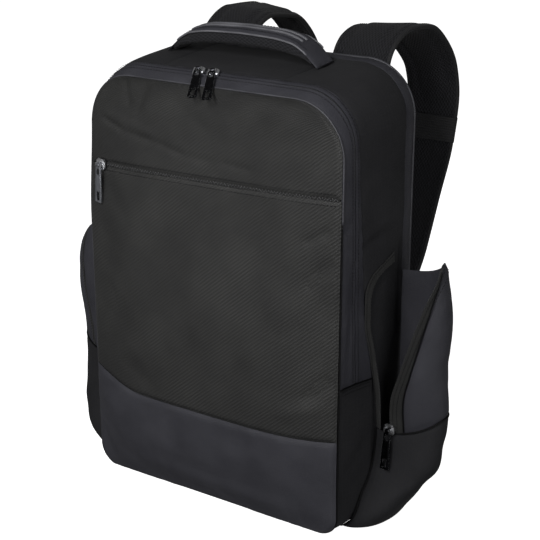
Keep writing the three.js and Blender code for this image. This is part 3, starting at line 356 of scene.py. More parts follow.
frontProfile = rowsOf(
    "height bulge",
    (0.0, 0.0), (0.05, 0.4), (0.12, 0.78), (0.24, 1.0), (0.45, 0.82), (0.78, 0.4), (0.92, 0.26), (1.0, 0.0),
)
frontY, rearY = -bag["depth"] / 2, bag["depth"] / 2
gap, wall = bag["gap"], bag["wall"]


def depthAt(share):
    return frontY + share * bag["depth"]


sizesAt = {}  # what the outline measures at each depth, kept because it is asked for often


def outlineSizes(y):
    key = round(y, 4)
    if key not in sizesAt:
        share = (y - frontY) / bag["depth"]
        half = readTable(bodySections, "depth", share, "width") * bag["halfWidth"]
        top = readTable(bodySections, "depth", share, "top") * bag["height"]
        bottom = readTable(bodySections, "depth", share, "bottom") * bag["height"]
        sizesAt[key] = (half, top, bottom, bottom + bag["bottomCorner"], top - bag["topCorner"])
    return sizesAt[key]


def slumpAt(z):
    return 1 - bag["slump"] / bag["halfWidth"] * smoothstep(0.62, 0.88, z / bag["height"])


def seamDrop(y, z):
    near = 1 - smoothstep(0, bag["gussetSeam"] / 2, abs(z - bag["gussetSeam"]))
    return bag["seamDrop"] * near * (y - frontY) / bag["depth"]


def outlinePoint(y, station):
    # stations run round from 0 under the base, 5 at the top's middle, on to 10
    half, top, bottom, foot, head = outlineSizes(y)
    mirrored = station > 5 or station < 0
    at = 10 - station if station > 5 else abs(station)
    zone = min(int(at), 4)
    t = at - zone
    angle = t * math.pi / 2
    low, high = bag["bottomCorner"], bag["topCorner"]
    x, z = [
        lambda: ((half - low) * t, bottom),
        lambda: (half - low + low * math.sin(angle), foot - low * math.cos(angle)),
        lambda: (half, mix(foot, head, t)),
        lambda: (half - high + high * math.cos(angle), head + high * math.sin(angle)),
        lambda: ((half - high) * (1 - t), top),
    ][zone]()
    if mirrored:
        x = -x * slumpAt(z)
    return Vector((x, y, z - seamDrop(y, z) if zone == 2 else z))


def sideX(y, z):
    half, top, bottom, foot, head = outlineSizes(y)
    corner = bag["bottomCorner"] if z < foot else bag["topCorner"]
    past = min(max(foot - z, z - head, 0), corner)
    return half - corner + math.sqrt(corner ** 2 - past ** 2)


def frontReach(x, z):
    return sideX(frontY, z) * (slumpAt(z) if x < 0 else 1)


frontTop, frontBottom = outlineSizes(frontY)[1], outlineSizes(frontY)[2]


def frontFaceY(x, z):
    share = (z - frontBottom) / (frontTop - frontBottom)
    across = min(abs(x) / frontReach(x, z), 1)
    bulge = readTable(frontProfile, "height", share, "bulge")
    return frontY - gap - wall - bag["bulge"] * bulge * (1 - across ** 4)


sideFoot, sideHead = outlineSizes(frontY)[3], outlineSizes(frontY)[4]
gussetStation = 2 + (bag["gussetSeam"] - sideFoot) / (sideHead - sideFoot)
topSeamStation = 5 - bag["topPanelHalf"] / (bag["halfWidth"] - bag["topCorner"])


def heightShare(station):
    return outlinePoint(0, station).z / bag["height"]


def zipY(station):
    return depthAt(readTable(seamLines, "height", heightShare(station), "zip"))


def seamY(station):
    return depthAt(readTable(seamLines, "height", heightShare(station), "seam"))


def makeObject(name, points, faces, material, layout, bodyName="bag", replaced=()):
    mesh = bpy.data.meshes.new(name)
    mesh.from_pydata([tuple(c * 0.001 for c in p) for p in points], [], faces)
    layer = mesh.uv_layers.new(name="millimetres")
    for loop in mesh.loops:
        layer.data[loop.index].uv = layout[loop.vertex_index]
    mesh.materials.append(look[material])
    mesh.polygons.foreach_set("use_smooth", [True] * len(mesh.polygons))
    mesh.update()
    shape = bmesh.new()
    shape.from_mesh(mesh)
    bmesh.ops.recalc_face_normals(shape, faces=shape.faces)
    shape.to_mesh(mesh)
    shape.free()
    piece = bpy.data.objects.new(name, mesh)
    bpy.context.scene.collection.objects.link(piece)
    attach(piece, bodyName)
    if replaced:
        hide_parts(*replaced)
    return piece


def ringFaces(rings, around, closed=False):
    # faces between neighbouring rings of points, and over the two ends where the run isn't closed
    faces = []
    for i in range(rings if closed else rings - 1):
        j = (i + 1) % rings
        for k in range(around):
            m = (k + 1) % around
            faces.append((i * around + k, i * around + m, j * around + m, j * around + k))
    if not closed:
        faces.append(tuple(reversed(range(around))))
        faces.append(tuple((rings - 1) * around + k for k in range(around)))
    return faces


def normalsOf(grid, outward):
    rows, columns = len(grid), len(grid[0])
    normals = []
    for r in range(rows):
        line = []
        for c in range(columns):
            along = grid[min(r + 1, rows - 1)][c] - grid[max(r - 1, 0)][c]
            across = grid[r][min(c + 1, columns - 1)] - grid[r][max(c - 1, 0)]
            normal = along.cross(across)
            if normal.length < 1e-9:
                normal = outward(grid[r][c])
            normal.normalize()
            line.append(-normal if normal.dot(outward(grid[r][c])) < 0 else normal)
        normals.append(line)
    return normals


def distancesOf(grid):
    # how far each point is along its row and its column
    rows, columns = len(grid), len(grid[0])
    along = [[0.0] * columns for _ in range(rows)]
    across = [[0.0] * columns for _ in range(rows)]
    for r in range(rows):
        for c in range(columns):
            if r:
                along[r][c] = along[r - 1][c] + (grid[r][c] - grid[r - 1][c]).length
            if c:
                across[r][c] = across[r][c - 1] + (grid[r][c] - grid[r][c - 1]).length
    return along, across


def wrinkle(p, grain, seed=0.0):
    return noise.noise(Vector((p.x / grain + seed, p.y / grain, p.z / grain)))


def foldDepth(first, second, folds):
    # folds: start, end, depth and width of each crease, in the two directions of its panel
    depth = 0.0
    for x0, z0, x1, z1, deep, wide in folds:
        dx, dz = x1 - x0, z1 - z0
        t = min(max(((first - x0) * dx + (second - z0) * dz) / (dx * dx + dz * dz), 0), 1)
        away = math.hypot(first - x0 - dx * t, second - z0 - dz * t)
        fade = 1 - (2 * t - 1) ** 4 * 0.8
        depth += deep * fade * math.exp(-(away / wide) ** 2)
    return depth


def sheetPiece(name, grid, thickness, outward, material, seams="abcd", sink=1.0, pucker=0.35,
               shape=None,
               replaced=(), reach=3.0):
    rows, columns = len(grid), len(grid[0])
    along, across = distancesOf(grid)
    normals = normalsOf(grid, outward)
    points, layout = [], []
    inner = []
    for r in range(rows):
        for c in range(columns):
            p, n = grid[r][c], normals[r][c]
            ends = {
                "a": along[r][c], "b": along[-1][c] - along[r][c],
                "c": across[r][c], "d": across[r][-1] - across[r][c],
            }
            near = min((ends[key] for key in seams), default=1e3)
            drop = sink * math.exp(-(near / reach) ** 2)
            crimp = pucker * math.exp(-near / 9) * wrinkle(p, 6.5, 3)
            lift = crimp - drop + (shape(p) if shape else 0)
            points.append(p + n * lift)
            inner.append(p - n * thickness)
            layout.append((across[r][c], along[r][c]))
    points += inner
    layout += layout
    faces = []
    total = rows * columns

    def at(r, c, side=0):
        return side * total + r * columns + c

    for r in range(rows - 1):
        for c in range(columns - 1):
            faces.append((at(r, c), at(r, c + 1), at(r + 1, c + 1), at(r + 1, c)))
            faces.append((at(r, c, 1), at(r + 1, c, 1), at(r + 1, c + 1, 1), at(r, c + 1, 1)))
        faces.append((at(r, 0), at(r + 1, 0), at(r + 1, 0, 1), at(r, 0, 1)))
        faces.append((at(r, columns - 1), at(r, columns - 1, 1), at(r + 1, columns - 1, 1),
                      at(r + 1, columns - 1)))
    for c in range(columns - 1):
        faces.append((at(0, c + 1), at(0, c), at(0, c, 1), at(0, c + 1, 1)))
        faces.append((at(rows - 1, c + 1), at(rows - 1, c + 1, 1), at(rows - 1, c, 1), at(rows - 1, c)))
    piece = makeObject(name, points, faces, material, layout, replaced=replaced)
    sharpenRims(piece)
    return piece


def sharpenRims(piece, angle=50):
    mesh = piece.data
    shape = bmesh.new()
    shape.from_mesh(mesh)
    for edge in shape.edges:
        if len(edge.link_faces) == 2 and edge.calc_face_angle(0) > math.radians(angle):
            edge.smooth = False
    shape.to_mesh(mesh)
    shape.free()


def ringFrames(path, closed=False):
    # directions square to a path, turned as little as possible from point to point
    count = len(path)
    frames = []
    side = None
    for i in range(count):
        before = path[(i - 1) % count] if closed else path[max(i - 1, 0)]
        after = path[(i + 1) % count] if closed else path[min(i + 1, count - 1)]
        along = (after - before).normalized()
        if side is None:
            guide = Vector((0, 0, 1)) if abs(along.z) < 0.9 else Vector((0, 1, 0))
            side = guide.cross(along).normalized()
        side = (side - along * side.dot(along)).normalized()
        frames.append((along, side, along.cross(side)))
    return frames


def tubePiece(name, path, radius, material, closed=False, around=10):
    frames = ringFrames(path, closed)
    points, layout = [], []
    run = 0.0
    for i, (p, (_, side, up)) in enumerate(zip(path, frames)):
        if i:
            run += (p - path[i - 1]).length
        for k in range(around):
            angle = 2 * math.pi * k / around
            points.append(p + side * (radius * math.cos(angle)) + up * (radius * math.sin(angle)))
            layout.append((run, radius * angle))
    return makeObject(name, points, ringFaces(len(path), around, closed), material, layout)


def evenly(points, step):
    # points at one spacing along a path, with how far along each one is
    lengths = [0.0]
    for a, b in zip(points, points[1:]):
        lengths.append(lengths[-1] + (b - a).length)
    count = max(int(lengths[-1] / step), 1)
    out, k = [], 0
    for i in range(count + 1):
        want = lengths[-1] * i / count
        while k < len(lengths) - 2 and lengths[k + 1] < want:
            k += 1
        t = (want - lengths[k]) / max(lengths[k + 1] - lengths[k], 1e-9)
        out.append((points[k].lerp(points[k + 1], min(t, 1)), k, t))
    return out


class Pile:
    # many small like solids gathered into one mesh
    def __init__(self):
        self.points, self.faces, self.layout = [], [], []

    def block(self, centre, along, across, up, length, width, height, pinch=1.0):
        base = len(self.points)
        for a, k in ((-0.5, pinch), (-0.25, 1), (0.25, 1), (0.5, pinch)):
            for w, h in ((-0.5, 0), (-0.3, 0.8), (0.3, 0.8), (0.5, 0)):
                self.points.append(centre + along * (a * length) + across * (w * width * k)
                                   + up * (h * height * k))
                self.layout.append((a * length, w * width + h * height))
        for ring in range(3):
            for k in range(4):
                m = (k + 1) % 4
                a = base + ring * 4
                self.faces.append((a + k, a + m, a + 4 + m, a + 4 + k))
        self.faces.append(tuple(base + k for k in (3, 2, 1, 0)))
        self.faces.append(tuple(base + 12 + k for k in range(4)))

    def make(self, name, material):
        return makeObject(name, self.points, self.faces, material, self.layout)


stitches = Pile()
teeth = Pile()


def stitchLine(points, normals, pitch=3.6, length=2.6, width=0.75):
    for (p, k, t) in evenly(points, pitch)[1:-1]:
        along = (points[k + 1] - points[k]).normalized()
        up = normals[k].lerp(normals[k + 1], t).normalized()
        stitches.block(p, along, along.cross(up).normalized(), up, length, width, 0.45, 0.5)


def toothLine(points, normals, pitch=1.7, span=3.0, lift=0.0):
    for i, (p, k, t) in enumerate(evenly(points, pitch)[1:-1]):
        along = (points[k + 1] - points[k]).normalized()
        up = normals[k].lerp(normals[k + 1], t).normalized()
        across = along.cross(up).normalized()
        side = 0.16 * span * (1 if i % 2 else -1)
        teeth.block(p + across * side + up * lift, across, along, up, span * 0.66, pitch * 0.82, 0.9, 0.8)


cloth = {"step": 4.0, "sag": 1.1, "sagGrain": 85, "small": 0.45, "smallGrain": 26,
         "tapeDepth": 1.4, "zipDepth": 1.3, "stitchIn": 3.2, "crossStitch": (3.0, 6.5)}
sideFolds = [  # y, z to y, z, depth, width
    (-38, 303, 8, 312, -2.0, 3.6), (8, 312, 26, 306, -1.4, 3.6), (-30, 310, 10, 320, 1.0, 6),
    (-20, 250, 10, 262, -1.2, 7), (36, 190, 40, 300, -2.6, 3.2), (43, 190, 46, 420, 1.0, 3.4),
    (-30, 380, 20, 372, -0.9, 9),
]
bandFolds = [(-56, 165, -52, 285, -1.6, 2.0), (-60, 288, -44, 292, -1.0, 3), (-66, 330, -50, 336, -0.8, 5)]
lowerFolds = [(-60, 150, -12, 138, -0.7, 4), (-55, 70, -20, 92, -1.3, 8), (-62, 30, -30, 12, -0.9, 7)]


def evenStations(start, end, step):
    fine = spread(start, end, 500)
    stations = [mix(fine[k], fine[k + 1], t) for _, k, t in evenly([outlinePoint(0, s) for s in fine], step)]
    stations[0] += 1e-4 * (end - start)
    stations[-1] -= 1e-4 * (end - start)
    return stations


def bodyOutward(p):
    return Vector((p.x / bag["halfWidth"], 0, p.z / (bag["height"] / 2) - 1)).normalized()


def sag(p):
    return cloth["sag"] * wrinkle(p, cloth["sagGrain"]) + cloth["small"] * wrinkle(p, cloth["smallGrain"], 5)


def sideShape(folds):
    def shape(p):
        onSide = smoothstep(0.7, 0.95, abs(p.x) / bag["halfWidth"])
        return sag(p) + onSide * foldDepth(p.y, p.z, folds)
    return shape


def bodyGrid(start, end, fromY, toY, step, trim=0.2):
    stations = evenStations(start, end, step)
    width = max(abs(toY(s) - fromY(s)) for s in stations)
    shares = spread(0, 1, max(int(width / step), 3))
    grid = []
    for s in stations:
        low, high = fromY(s) + trim, toY(s) - trim
        grid.append([outlinePoint(mix(low, high, share), s) for share in shares])
    return grid


def buildBody():
    halfZip = bag["mainZip"] / 2
    slit = 0.45 * halfZip  # the band and its cover nearly meet over the zip
    over = (gussetStation, 10 - gussetStation)
    under = (-gussetStation, gussetStation)
    right, left = (1, topSeamStation), (10 - topSeamStation, 9)
    bandY = rearY - bag["rearBand"]
    step = cloth["step"]
    panels = [
        ("gusset_front_band", "coated", over, lambda s: frontY, lambda s: zipY(s) - slit, bandFolds, 0.9),
        ("gusset_zip_cover", "coated", over, lambda s: zipY(s) + slit, seamY, bandFolds, 0.9),
        ("gusset_lower", "poly", under, lambda s: frontY, seamY, lowerFolds, 1.2),
        ("side_panel_right", "poly", right, seamY, lambda s: bandY, sideFolds, 1.3),
        ("side_panel_left", "poly", left, seamY, lambda s: bandY, sideFolds, 1.3),
        ("top_panel", "poly", (topSeamStation, 10 - topSeamStation), seamY, lambda s: bandY, [], 1.2),
        ("base_panel", "poly", (-1, 1), seamY, lambda s: bandY, [], 0.0),
        ("rear_band", "coated", (-1, 9), lambda s: bandY, lambda s: rearY, [], 1.0),
    ]
    for node, material, (start, end), fromY, toY, folds, sink in panels:
        grid = bodyGrid(start, end, fromY, toY, step)
        flat = node == "base_panel"
        shape = None if flat else restingShape(sideShape(folds))
        seams = {"gusset_front_band": "abc", "gusset_zip_cover": "abd"}.get(node, "abcd")
        pucker = 0 if flat else 0.9 if material == "coated" else 0.5
        sheetPiece("cloth_" + node, grid, wall - 0.3, bodyOutward, material, seams=seams, sink=sink,
                   pucker=pucker, shape=shape, replaced=(node,))
    tape = [[p - bodyOutward(p) * cloth["tapeDepth"] for p in row] for row in
            bodyGrid(*over, lambda s: zipY(s) - halfZip - 0.8, lambda s: zipY(s) + halfZip + 0.8, step, 0)]
    sheetPiece("cloth_main_zip_tape", tape, 1.0, bodyOutward, "zipTape", sink=0, pucker=0,
               replaced=("main_zip_tape",))
    line = [outlinePoint(zipY(s), s) - bodyOutward(outlinePoint(zipY(s), s)) * cloth["zipDepth"]
            for s in evenStations(*over, 3)]
    toothLine(line, [bodyOutward(p) for p in line])
    for offset in (-cloth["stitchIn"], cloth["stitchIn"]):
        stations = evenStations(*over, 3)
        row = [outlinePoint(zipY(s) + math.copysign(halfZip, offset) + offset, s) for s in stations]
        stitchLine([p + bodyOutward(p) * 0.25 for p in row], [bodyOutward(p) for p in row])
    for side in (1, -1):  # two rows under the gusset's cross seam
        for below in cloth["crossStitch"]:
            station = gussetStation - below / (sideHead - sideFoot)
            ys = spread(frontY + 3, seamY(gussetStation) - 3, 20)
            row = [outlinePoint(y, station if side > 0 else 10 - station) for y in ys]
            stitchLine([p + Vector((side * 0.2, 0, 0)) for p in row], [Vector((side, 0, 0)) for _ in row])


def restingShape(shape):
    # near the floor the cloth stays at or above its own solid's underside
    def held(p):
        lift = shape(p)
        return min(lift, 0) if p.z < 30 else lift
    return held


piping = {"pale": 1.1, "low": 1.0, "rear": 1.5, "gusset": 0.8, "paleAbove": 335}


def buildPiping():
    # the front seam cord: pale round the top and down the left; near-black down the right and under the base,
    # painted shade there
    paleFrom = 2 + (piping["paleAbove"] - sideFoot) / (sideHead - sideFoot)
    parts = [
        ("front_seam", "edge", piping["pale"], 0.2, 0.6, (paleFrom, 8.4)),
        ("front_seam_shade", "seam", piping["low"], 0.5, 0.3, (-1.6, paleFrom)),
    ]
    for name, material, radius, inward, behind, (start, end) in parts:
        ring = [outlinePoint(frontY, s) for s in spread(start, end, 160)]
        ring = [p for p, _, _ in evenly(ring, 4)]
        path = [Vector((p.x, frontY + behind, p.z)) - bodyOutward(p) * inward for p in ring]
        tubePiece("piping_" + name, path, radius, material, around=8)
    for side, label in ((1, "right"), (-1, "left")):
        ys = spread(frontY + 1.5, seamY(gussetStation) - 0.5, 16)
        path = [outlinePoint(y, gussetStation if side > 0 else 10 - gussetStation) for y in ys]
        # a near-black cord down each gusset cross seam: painted shade
        tubePiece("shade_gusset_seam_" + label, path, piping["gusset"], "seam", around=6)
    rear = [outlinePoint(rearY, s) for s in evenStations(-5 + 1e-3, 5 - 1e-3, 4)]
    path = [Vector((p.x, rearY + gap / 2, p.z)) - bodyOutward(p) * 1.2 for p in rear]
    tubePiece("piping_rear_seam", path, piping["rear"], "edge", closed=True, around=8)


front = {
    "step": 2.4,
    "tapeHalf": 2.6, "tapeDepth": 1.7, "toothDepth": 1.6, "toothSpan": 3.6,
    "zipStitch": 5.5, "baseStitch": 3.2,
    "upperFolds": [  # x, z to x, z, depth, width
        (-130, 403, -98, 392, -2.2, 2.6), (-98, 392, -58, 387, -1.6, 3.2), (-58, 387, -20, 378, -1.5, 3.4),
        (-20, 378, 16, 377, -1.0, 3.4), (20, 378, 60, 375, -1.1, 3.0), (-126, 409, -60, 394, 1.1, 5),
        (-100, 452, -91, 418, -1.3, 3.6), (-68, 446, -84, 410, -1.1, 4.5), (-84, 440, -112, 418, 0.7, 7),
        (60, 440, 120, 420, 0.8, 10), (-40, 436, 10, 404, -0.7, 7), (20, 430, 40, 400, 0.6, 9),
        (148, 420, 130, 380, -1.0, 7),
    ],
    "pocketFolds": [
        (-150, 300, -112, 150, -3.2, 34), (-104, 330, -92, 180, 1.2, 26), (-146, 250, -96, 215, 1.0, 8),
        (-150, 200, -70, 150, 1.2, 10), (-140, 160, -60, 126, -1.4, 9), (-128, 344, -96, 300, -1.0, 9),
        (146, 330, 118, 312, -1.6, 5), (148, 300, 120, 268, -1.2, 7), (150, 180, 118, 150, -1.4, 7),
        (148, 150, 92, 132, 1.2, 8), (-60, 345, -48, 300, -0.5, 9), (10, 350, 16, 310, -0.5, 9),
        (80, 350, 84, 306, -0.5, 9), (-30, 230, 90, 200, 1.2, 46), (132, 300, 132, 140, -1.6, 20),
    ],
    "baseFolds": [
        (-138, 100, -92, 34, 2.2, 15), (-92, 30, 110, 26, 1.8, 9), (112, 84, 148, 30, -1.4, 12),
        (-150, 60, -132, 14, -1.6, 8), (-60, 92, 90, 88, -0.9, 12), (-70, 60, 40, 58, 0.9, 16),
    ],
}


def zipLineZ(x):
    return bag["zipHeight"] + bag["zipRise"] * x / bag["halfWidth"]


def baseSeamZ(x):
    return bag["baseSeam"] + bag["baseSweep"] * smoothstep(0.5, 1, -x / bag["halfWidth"])


def zipHalfOpening(x):
    return mix(gap / 2, bag["zipOpening"] / 2, smoothstep(bag["zipStart"] - 6, bag["zipStart"], x))


def zipEdge(x, side):
    # the two panels draw together over the zip away from its slider
    overlap = mix(0.3, 1.9, smoothstep(-125, 20, x)) if x > bag["zipStart"] else 0
    return zipLineZ(x) + side * (zipHalfOpening(x) - overlap)


def frontOutward(p):
    return Vector((0, -1, 0))


def frontGrid(low, high, lowEdge, highEdge, step):
    heights = spread(low, high, max(int((high - low) / step), 4))
    if high > sideHead:  # closer rows where the outline turns
        heights = sorted(set(heights + spread(high - 8, high, 6)))
    if low < sideFoot:
        heights = sorted(set(heights + spread(low, low + 8, 6)))
    columns = sorted(set(spread(-1, 1, int(2 * bag["halfWidth"] / step)) + [-0.995, -0.985, 0.985, 0.995]))
    grid = []
    for level in heights:
        share = (level - low) / (high - low)
        line = []
        for across in columns:
            reach = max(frontReach(across, level) - 0.2, 1)
            x = across * reach
            z = mix(lowEdge(x) + 0.2, highEdge(x) - 0.2, share)
            line.append(Vector((x, frontFaceY(x, z), z)))
        grid.append(line)
    return grid


def frontShape(folds):
    def shape(p):
        return 0.8 * sag(p) + foldDepth(p.x, p.z, folds)
    return shape


def buildFront():
    step = front["step"]
    seam = bag["baseSeam"]
    panels = [
        ("front_base_panel", "coated", frontBottom, seam, lambda x: frontBottom, baseSeamZ, "baseFolds"),
        ("front_pocket_panel", "ripstop", seam, bag["zipHeight"], baseSeamZ,
         lambda x: zipEdge(x, -1), "pocketFolds"),
        ("front_panel_upper", "ripstop", bag["zipHeight"], frontTop, lambda x: zipEdge(x, 1),
         lambda x: frontTop, "upperFolds"),
    ]
    for node, material, low, high, lowEdge, highEdge, folds in panels:
        grid = frontGrid(low, high, lowEdge, highEdge, step)
        sheetPiece("cloth_" + node, grid, wall - 0.6, frontOutward, material, sink=1.9, pucker=0.55,
                   shape=frontShape(front[folds]), replaced=(node,), reach=2.4)
    xs = spread(bag["zipStart"], sideX(frontY, bag["zipHeight"]) - 2.5, 90)
    tape = [[Vector((x, frontFaceY(x, zipLineZ(x)) + front["tapeDepth"], zipLineZ(x)
                     + side * front["tapeHalf"])) for side in (-1, 0, 1)] for x in xs]
    sheetPiece("cloth_front_zip_tape", tape, 0.9, frontOutward, "zipTape", sink=0, pucker=0,
               replaced=("front_zip_tape",))
    line = [Vector((x, frontFaceY(x, zipLineZ(x)) + front["toothDepth"], zipLineZ(x))) for x in xs]
    toothLine(line, [Vector((0, -1, 0))] * len(line), span=front["toothSpan"])
    for offset in (-front["zipStitch"], front["zipStitch"]):
        row = [Vector((x, frontFaceY(x, zipLineZ(x) + offset) - 0.1, zipLineZ(x) + offset)) for x in xs]
        stitchLine(row, [Vector((0, -1, 0))] * len(row))
    xs = spread(3 - frontReach(-1, seam), frontReach(1, seam) - 3, 90)
    above = front["baseStitch"]
    row = [Vector((x, frontFaceY(x, baseSeamZ(x) + above) - 0.1, baseSeamZ(x) + above)) for x in xs]
    stitchLine(row, [Vector((0, -1, 0))] * len(row))


pocket = {
    "height": 289, "topFall": 30, "seamFront": 101, "seamRise": 22, "rearInset": 22, "rearRound": 4,
    "wall": 2.2, "hem": 1.2, "tape": 11, "zip": 4, "flapStart": 0.07,
    "closedTooth": 3.4, "openTooth": 2.2, "stitchRows": (3.4, 8.2),
}
openBaseRows = rowsOf(
    "up reach front flare",
    (0.02, -0.2, 0.2, 0.0), (0.02, 0.3, 0.18, 0.1), (0.14, 0.5, 0.2, 0.35), (0.34, 0.74, 0.28, 0.75),
    (0.54, 0.93, 0.39, 1.0), (0.8, 0.99, 0.45, 1.05), (1.0, 1.0, 0.46, 1.0),
)
closedBaseRows = rowsOf(
    "up reach front flare",
    (0.02, -0.2, 0.2, 0.0), (0.02, 0.4, 0.18, 0.2), (0.14, 0.72, 0.2, 0.55), (0.34, 0.89, 0.28, 0.9),
    (0.56, 0.97, 0.39, 1.05), (0.8, 1.0, 0.45, 1.05), (1.0, 1.0, 0.46, 1.0),
)
pocket["open"] = {"reach": 74, "flare": 17, "baseRows": openBaseRows}
pocket["closed"] = {"reach": 78, "flare": 38, "baseRows": closedBaseRows}
closedRows = rowsOf(
    "up reach front flare zip",
    (0.0, 1.0, 0.46, 1.0, 0.22), (0.2, 0.99, 0.43, 1.1, 0.22), (0.42, 0.97, 0.38, 1.15, 0.23),
    (0.62, 0.91, 0.34, 1.1, 0.25), (0.78, 0.78, 0.33, 0.9, 0.31), (0.9, 0.52, 0.36, 0.5, 0.46),
    (1.0, 0.12, 0.42, 0.1, 0.74),
)
flapRows = rowsOf(
    "up edge reach front flare",
    (0.0, 0.2, 1.0, 0.42, 1.0), (0.25, 0.36, 1.0, 0.42, 0.85), (0.5, 0.55, 1.0, 0.42, 0.6),
    (0.75, 0.76, 0.97, 0.43, 0.3), (0.92, 0.92, 0.9, 0.455, 0.05), (1.0, 0.97, 0.83, 0.48, -0.2),
)
openZipRun = rowsOf(
    "edgeUp edgeBack edgeOut baseUp baseBack",
    (0.36, 0.42, 0.17, 0.36, 0.455), (0.48, 0.42, 0.15, 0.475, 0.43), (0.64, 0.4, 0.09, 0.64, 0.36),
    (0.77, 0.345, 0.06, 0.78, 0.285), (0.85, 0.345, 0.06, 0.87, 0.285), (0.91, 0.41, 0.06, 0.935, 0.36),
    (0.94, 0.54, 0.06, 0.965, 0.52), (0.95, 0.68, 0.06, 0.985, 0.67),
)
pocketRearY = rearY - pocket["rearInset"]
pocketMiddleY = (frontY + 3 * rearY) / 4 - pocket["rearInset"]


def attachX(y, z):
    return sideX(y, z) + gap + pocket["hem"]


def pocketSeamZ(along):
    return pocket["seamFront"] + pocket["seamRise"] * smoothstep(0, 0.5, along)


def pocketTopZ(along):
    return pocket["height"] - pocket["topFall"] * smoothstep(0.3, 1, along)


def rowAt(table, number):
    lined = numbered(table)
    return {column: readTable(lined, "at", number / (len(table) - 1), column) for column in table[0]}


def rowNumber(table, up):
    return readTable([{"up": row["up"], "i": i} for i, row in enumerate(table)], "up", up, "i")


def bezier(points, t):
    a, b, c, d = points
    s = 1 - t
    return a * s ** 3 + b * (3 * s * s * t) + c * (3 * s * t * t) + d * t ** 3


def pocketPoint(own, row, z, along):
    frontEdge = depthAt(row["front"])
    start = bag["halfWidth"] + row["edge"] * own["reach"] if "edge" in row else attachX(frontEdge, z)
    rear = attachX(pocketRearY, z)
    swing = (bag["halfWidth"] + row["reach"] * own["reach"] - (start + rear) / 8) / 0.75
    p = bezier((
        Vector((start, frontEdge, z)), Vector((swing, frontEdge - row["flare"] * own["flare"], z)),
        Vector((swing, pocketRearY + pocket["rearRound"], z)), Vector((rear, pocketRearY, z)),
    ), along)
    p.x = max(p.x, attachX(p.y, z))
    return p


def basePoint(own, up, along):
    row = rowAt(own["baseRows"], up * (len(own["baseRows"]) - 1))
    return pocketPoint(own, row, row["up"] * pocketSeamZ(along), along)


def closedPoint(own, up, along):
    row = rowAt(closedRows, rowNumber(closedRows, up))
    return pocketPoint(own, row, mix(pocketSeamZ(along), pocketTopZ(along), up), along)


def flapPoint(own, up, share):
    row = rowAt(flapRows, rowNumber(flapRows, up))
    along = mix(pocket["flapStart"], 1, share)
    z = mix(pocketSeamZ(along), pocketTopZ(along), up)
    opened = pocketPoint(own, row, z, share)
    closed = closedPoint(own, 0, along)
    closed.z = z
    return closed.lerp(opened, smoothstep(0, 0.35, up))


def roundLength(own, point, up):
    points = [point(own, up, share) for share in spread(0, 1, 16)]
    return sum((b - a).length for a, b in zip(points, points[1:]))


pocketFolds = [  # y, z to y, z, depth, width
    (-12, 60, 30, 34, -2.2, 9), (-30, 40, 10, 14, -1.6, 8), (0, 96, 40, 84, -1.2, 10),
    (28, 30, 46, 100, -1.3, 8),
    (-6, 150, 20, 190, -1.4, 14), (10, 240, 38, 200, 1.2, 14), (30, 130, 44, 240, -1.5, 8),
]


def pocketShape(p):
    return 1.3 * wrinkle(p, 42, 2) + 0.5 * wrinkle(p, 15, 8) + foldDepth(p.y, p.z, pocketFolds)


def pocketPanel(name, material, side, own, point, ups, shares, inset=0.0, shape=pocketShape, seams="abcd",
                node=None,
                sink=1.6, thick=None):
    def outward(p):
        return Vector((p.x - side * bag["halfWidth"], p.y - pocketMiddleY, (p.z - pocket["height"] / 2) / 3))

    grid = []
    for up in ups:
        line = []
        for share in shares(up):
            p = point(own, up, share)
            line.append(Vector((side * p.x, p.y, p.z)))
        grid.append(line)
    if inset:
        normals = normalsOf(grid, outward)
        grid = [[p - n * inset for p, n in zip(row, turned)] for row, turned in zip(grid, normals)]
    thickness = thick if thick else pocket["wall"] - 0.4
    piece = sheetPiece(name, grid, thickness, outward, material, seams=seams, sink=sink,
                       shape=shape,
                       replaced=(node,) if node else (), reach=2.6)
    # nothing may press into the bag's side
    mesh = piece.data
    for vertex in mesh.vertices:
        x, y, z = (c * 1000 for c in vertex.co)
        least = sideX(y, z) + 0.6
        if side * x < least:
            vertex.co.x = side * least * 0.001
    return grid


def pocketShadeCord(name, own, side, pointAt, ends, radius=0.95):
    # the near-black cord laid along a pocket's seam: painted shade in the seam
    path = [Vector((side * p.x, p.y, p.z)) for p in map(pointAt, spread(*ends, 60))]
    tubePiece("piping_" + name, path, radius, "seam", around=8)


def heldPocket(p):
    return pocketShape(p) * smoothstep(6, 40, p.z)  # the cloth lies still where it nears the floor


def buildLeftPocket():
    own, side = pocket["closed"], -1
    fine = 34
    ups = spread(0, 1, fine)

    def edge(up, offset):
        return readTable(closedRows, "up", up, "zip") + offset / roundLength(own, closedPoint, up)

    half = pocket["zip"] / 2
    pocketPanel("cloth_pocket_left_lower", "poly", side, own, basePoint, ups, lambda up: spread(0, 1, fine),
                node="pocket_left_lower", shape=heldPocket)
    high = [share * (1.6 - 0.6 * share) for share in spread(0, 1, fine)]
    pocketPanel("cloth_pocket_left_strip", "coated", side, own, closedPoint, high,
                lambda up: spread(0, edge(up, -half), 8), node="pocket_left_strip", shape=heldPocket)
    tape = pocketPanel("cloth_pocket_left_zip", "zipTape", side, own, closedPoint, high,
                       lambda up: spread(edge(up, -half - 0.6), edge(up, half + 0.6), 2), inset=1.1,
                       node="pocket_left_zip", shape=None, sink=0, thick=0.8)
    pocketPanel("cloth_pocket_left_upper", "coated", side, own, closedPoint, high,
                lambda up: spread(edge(up, half), 1, fine), node="pocket_left_upper", shape=heldPocket)
    middle = [row[1] for row in tape]
    outs = [row[1] for row in normalsOf(tape, lambda p: Vector((-1, -0.4, 0.2)))]
    toothLine(middle, outs, span=pocket["closedTooth"])
    pocketShadeCord("pocket_left_seam_shade", own, side, lambda share: basePoint(own, 1, share), (0.01, 0.99))


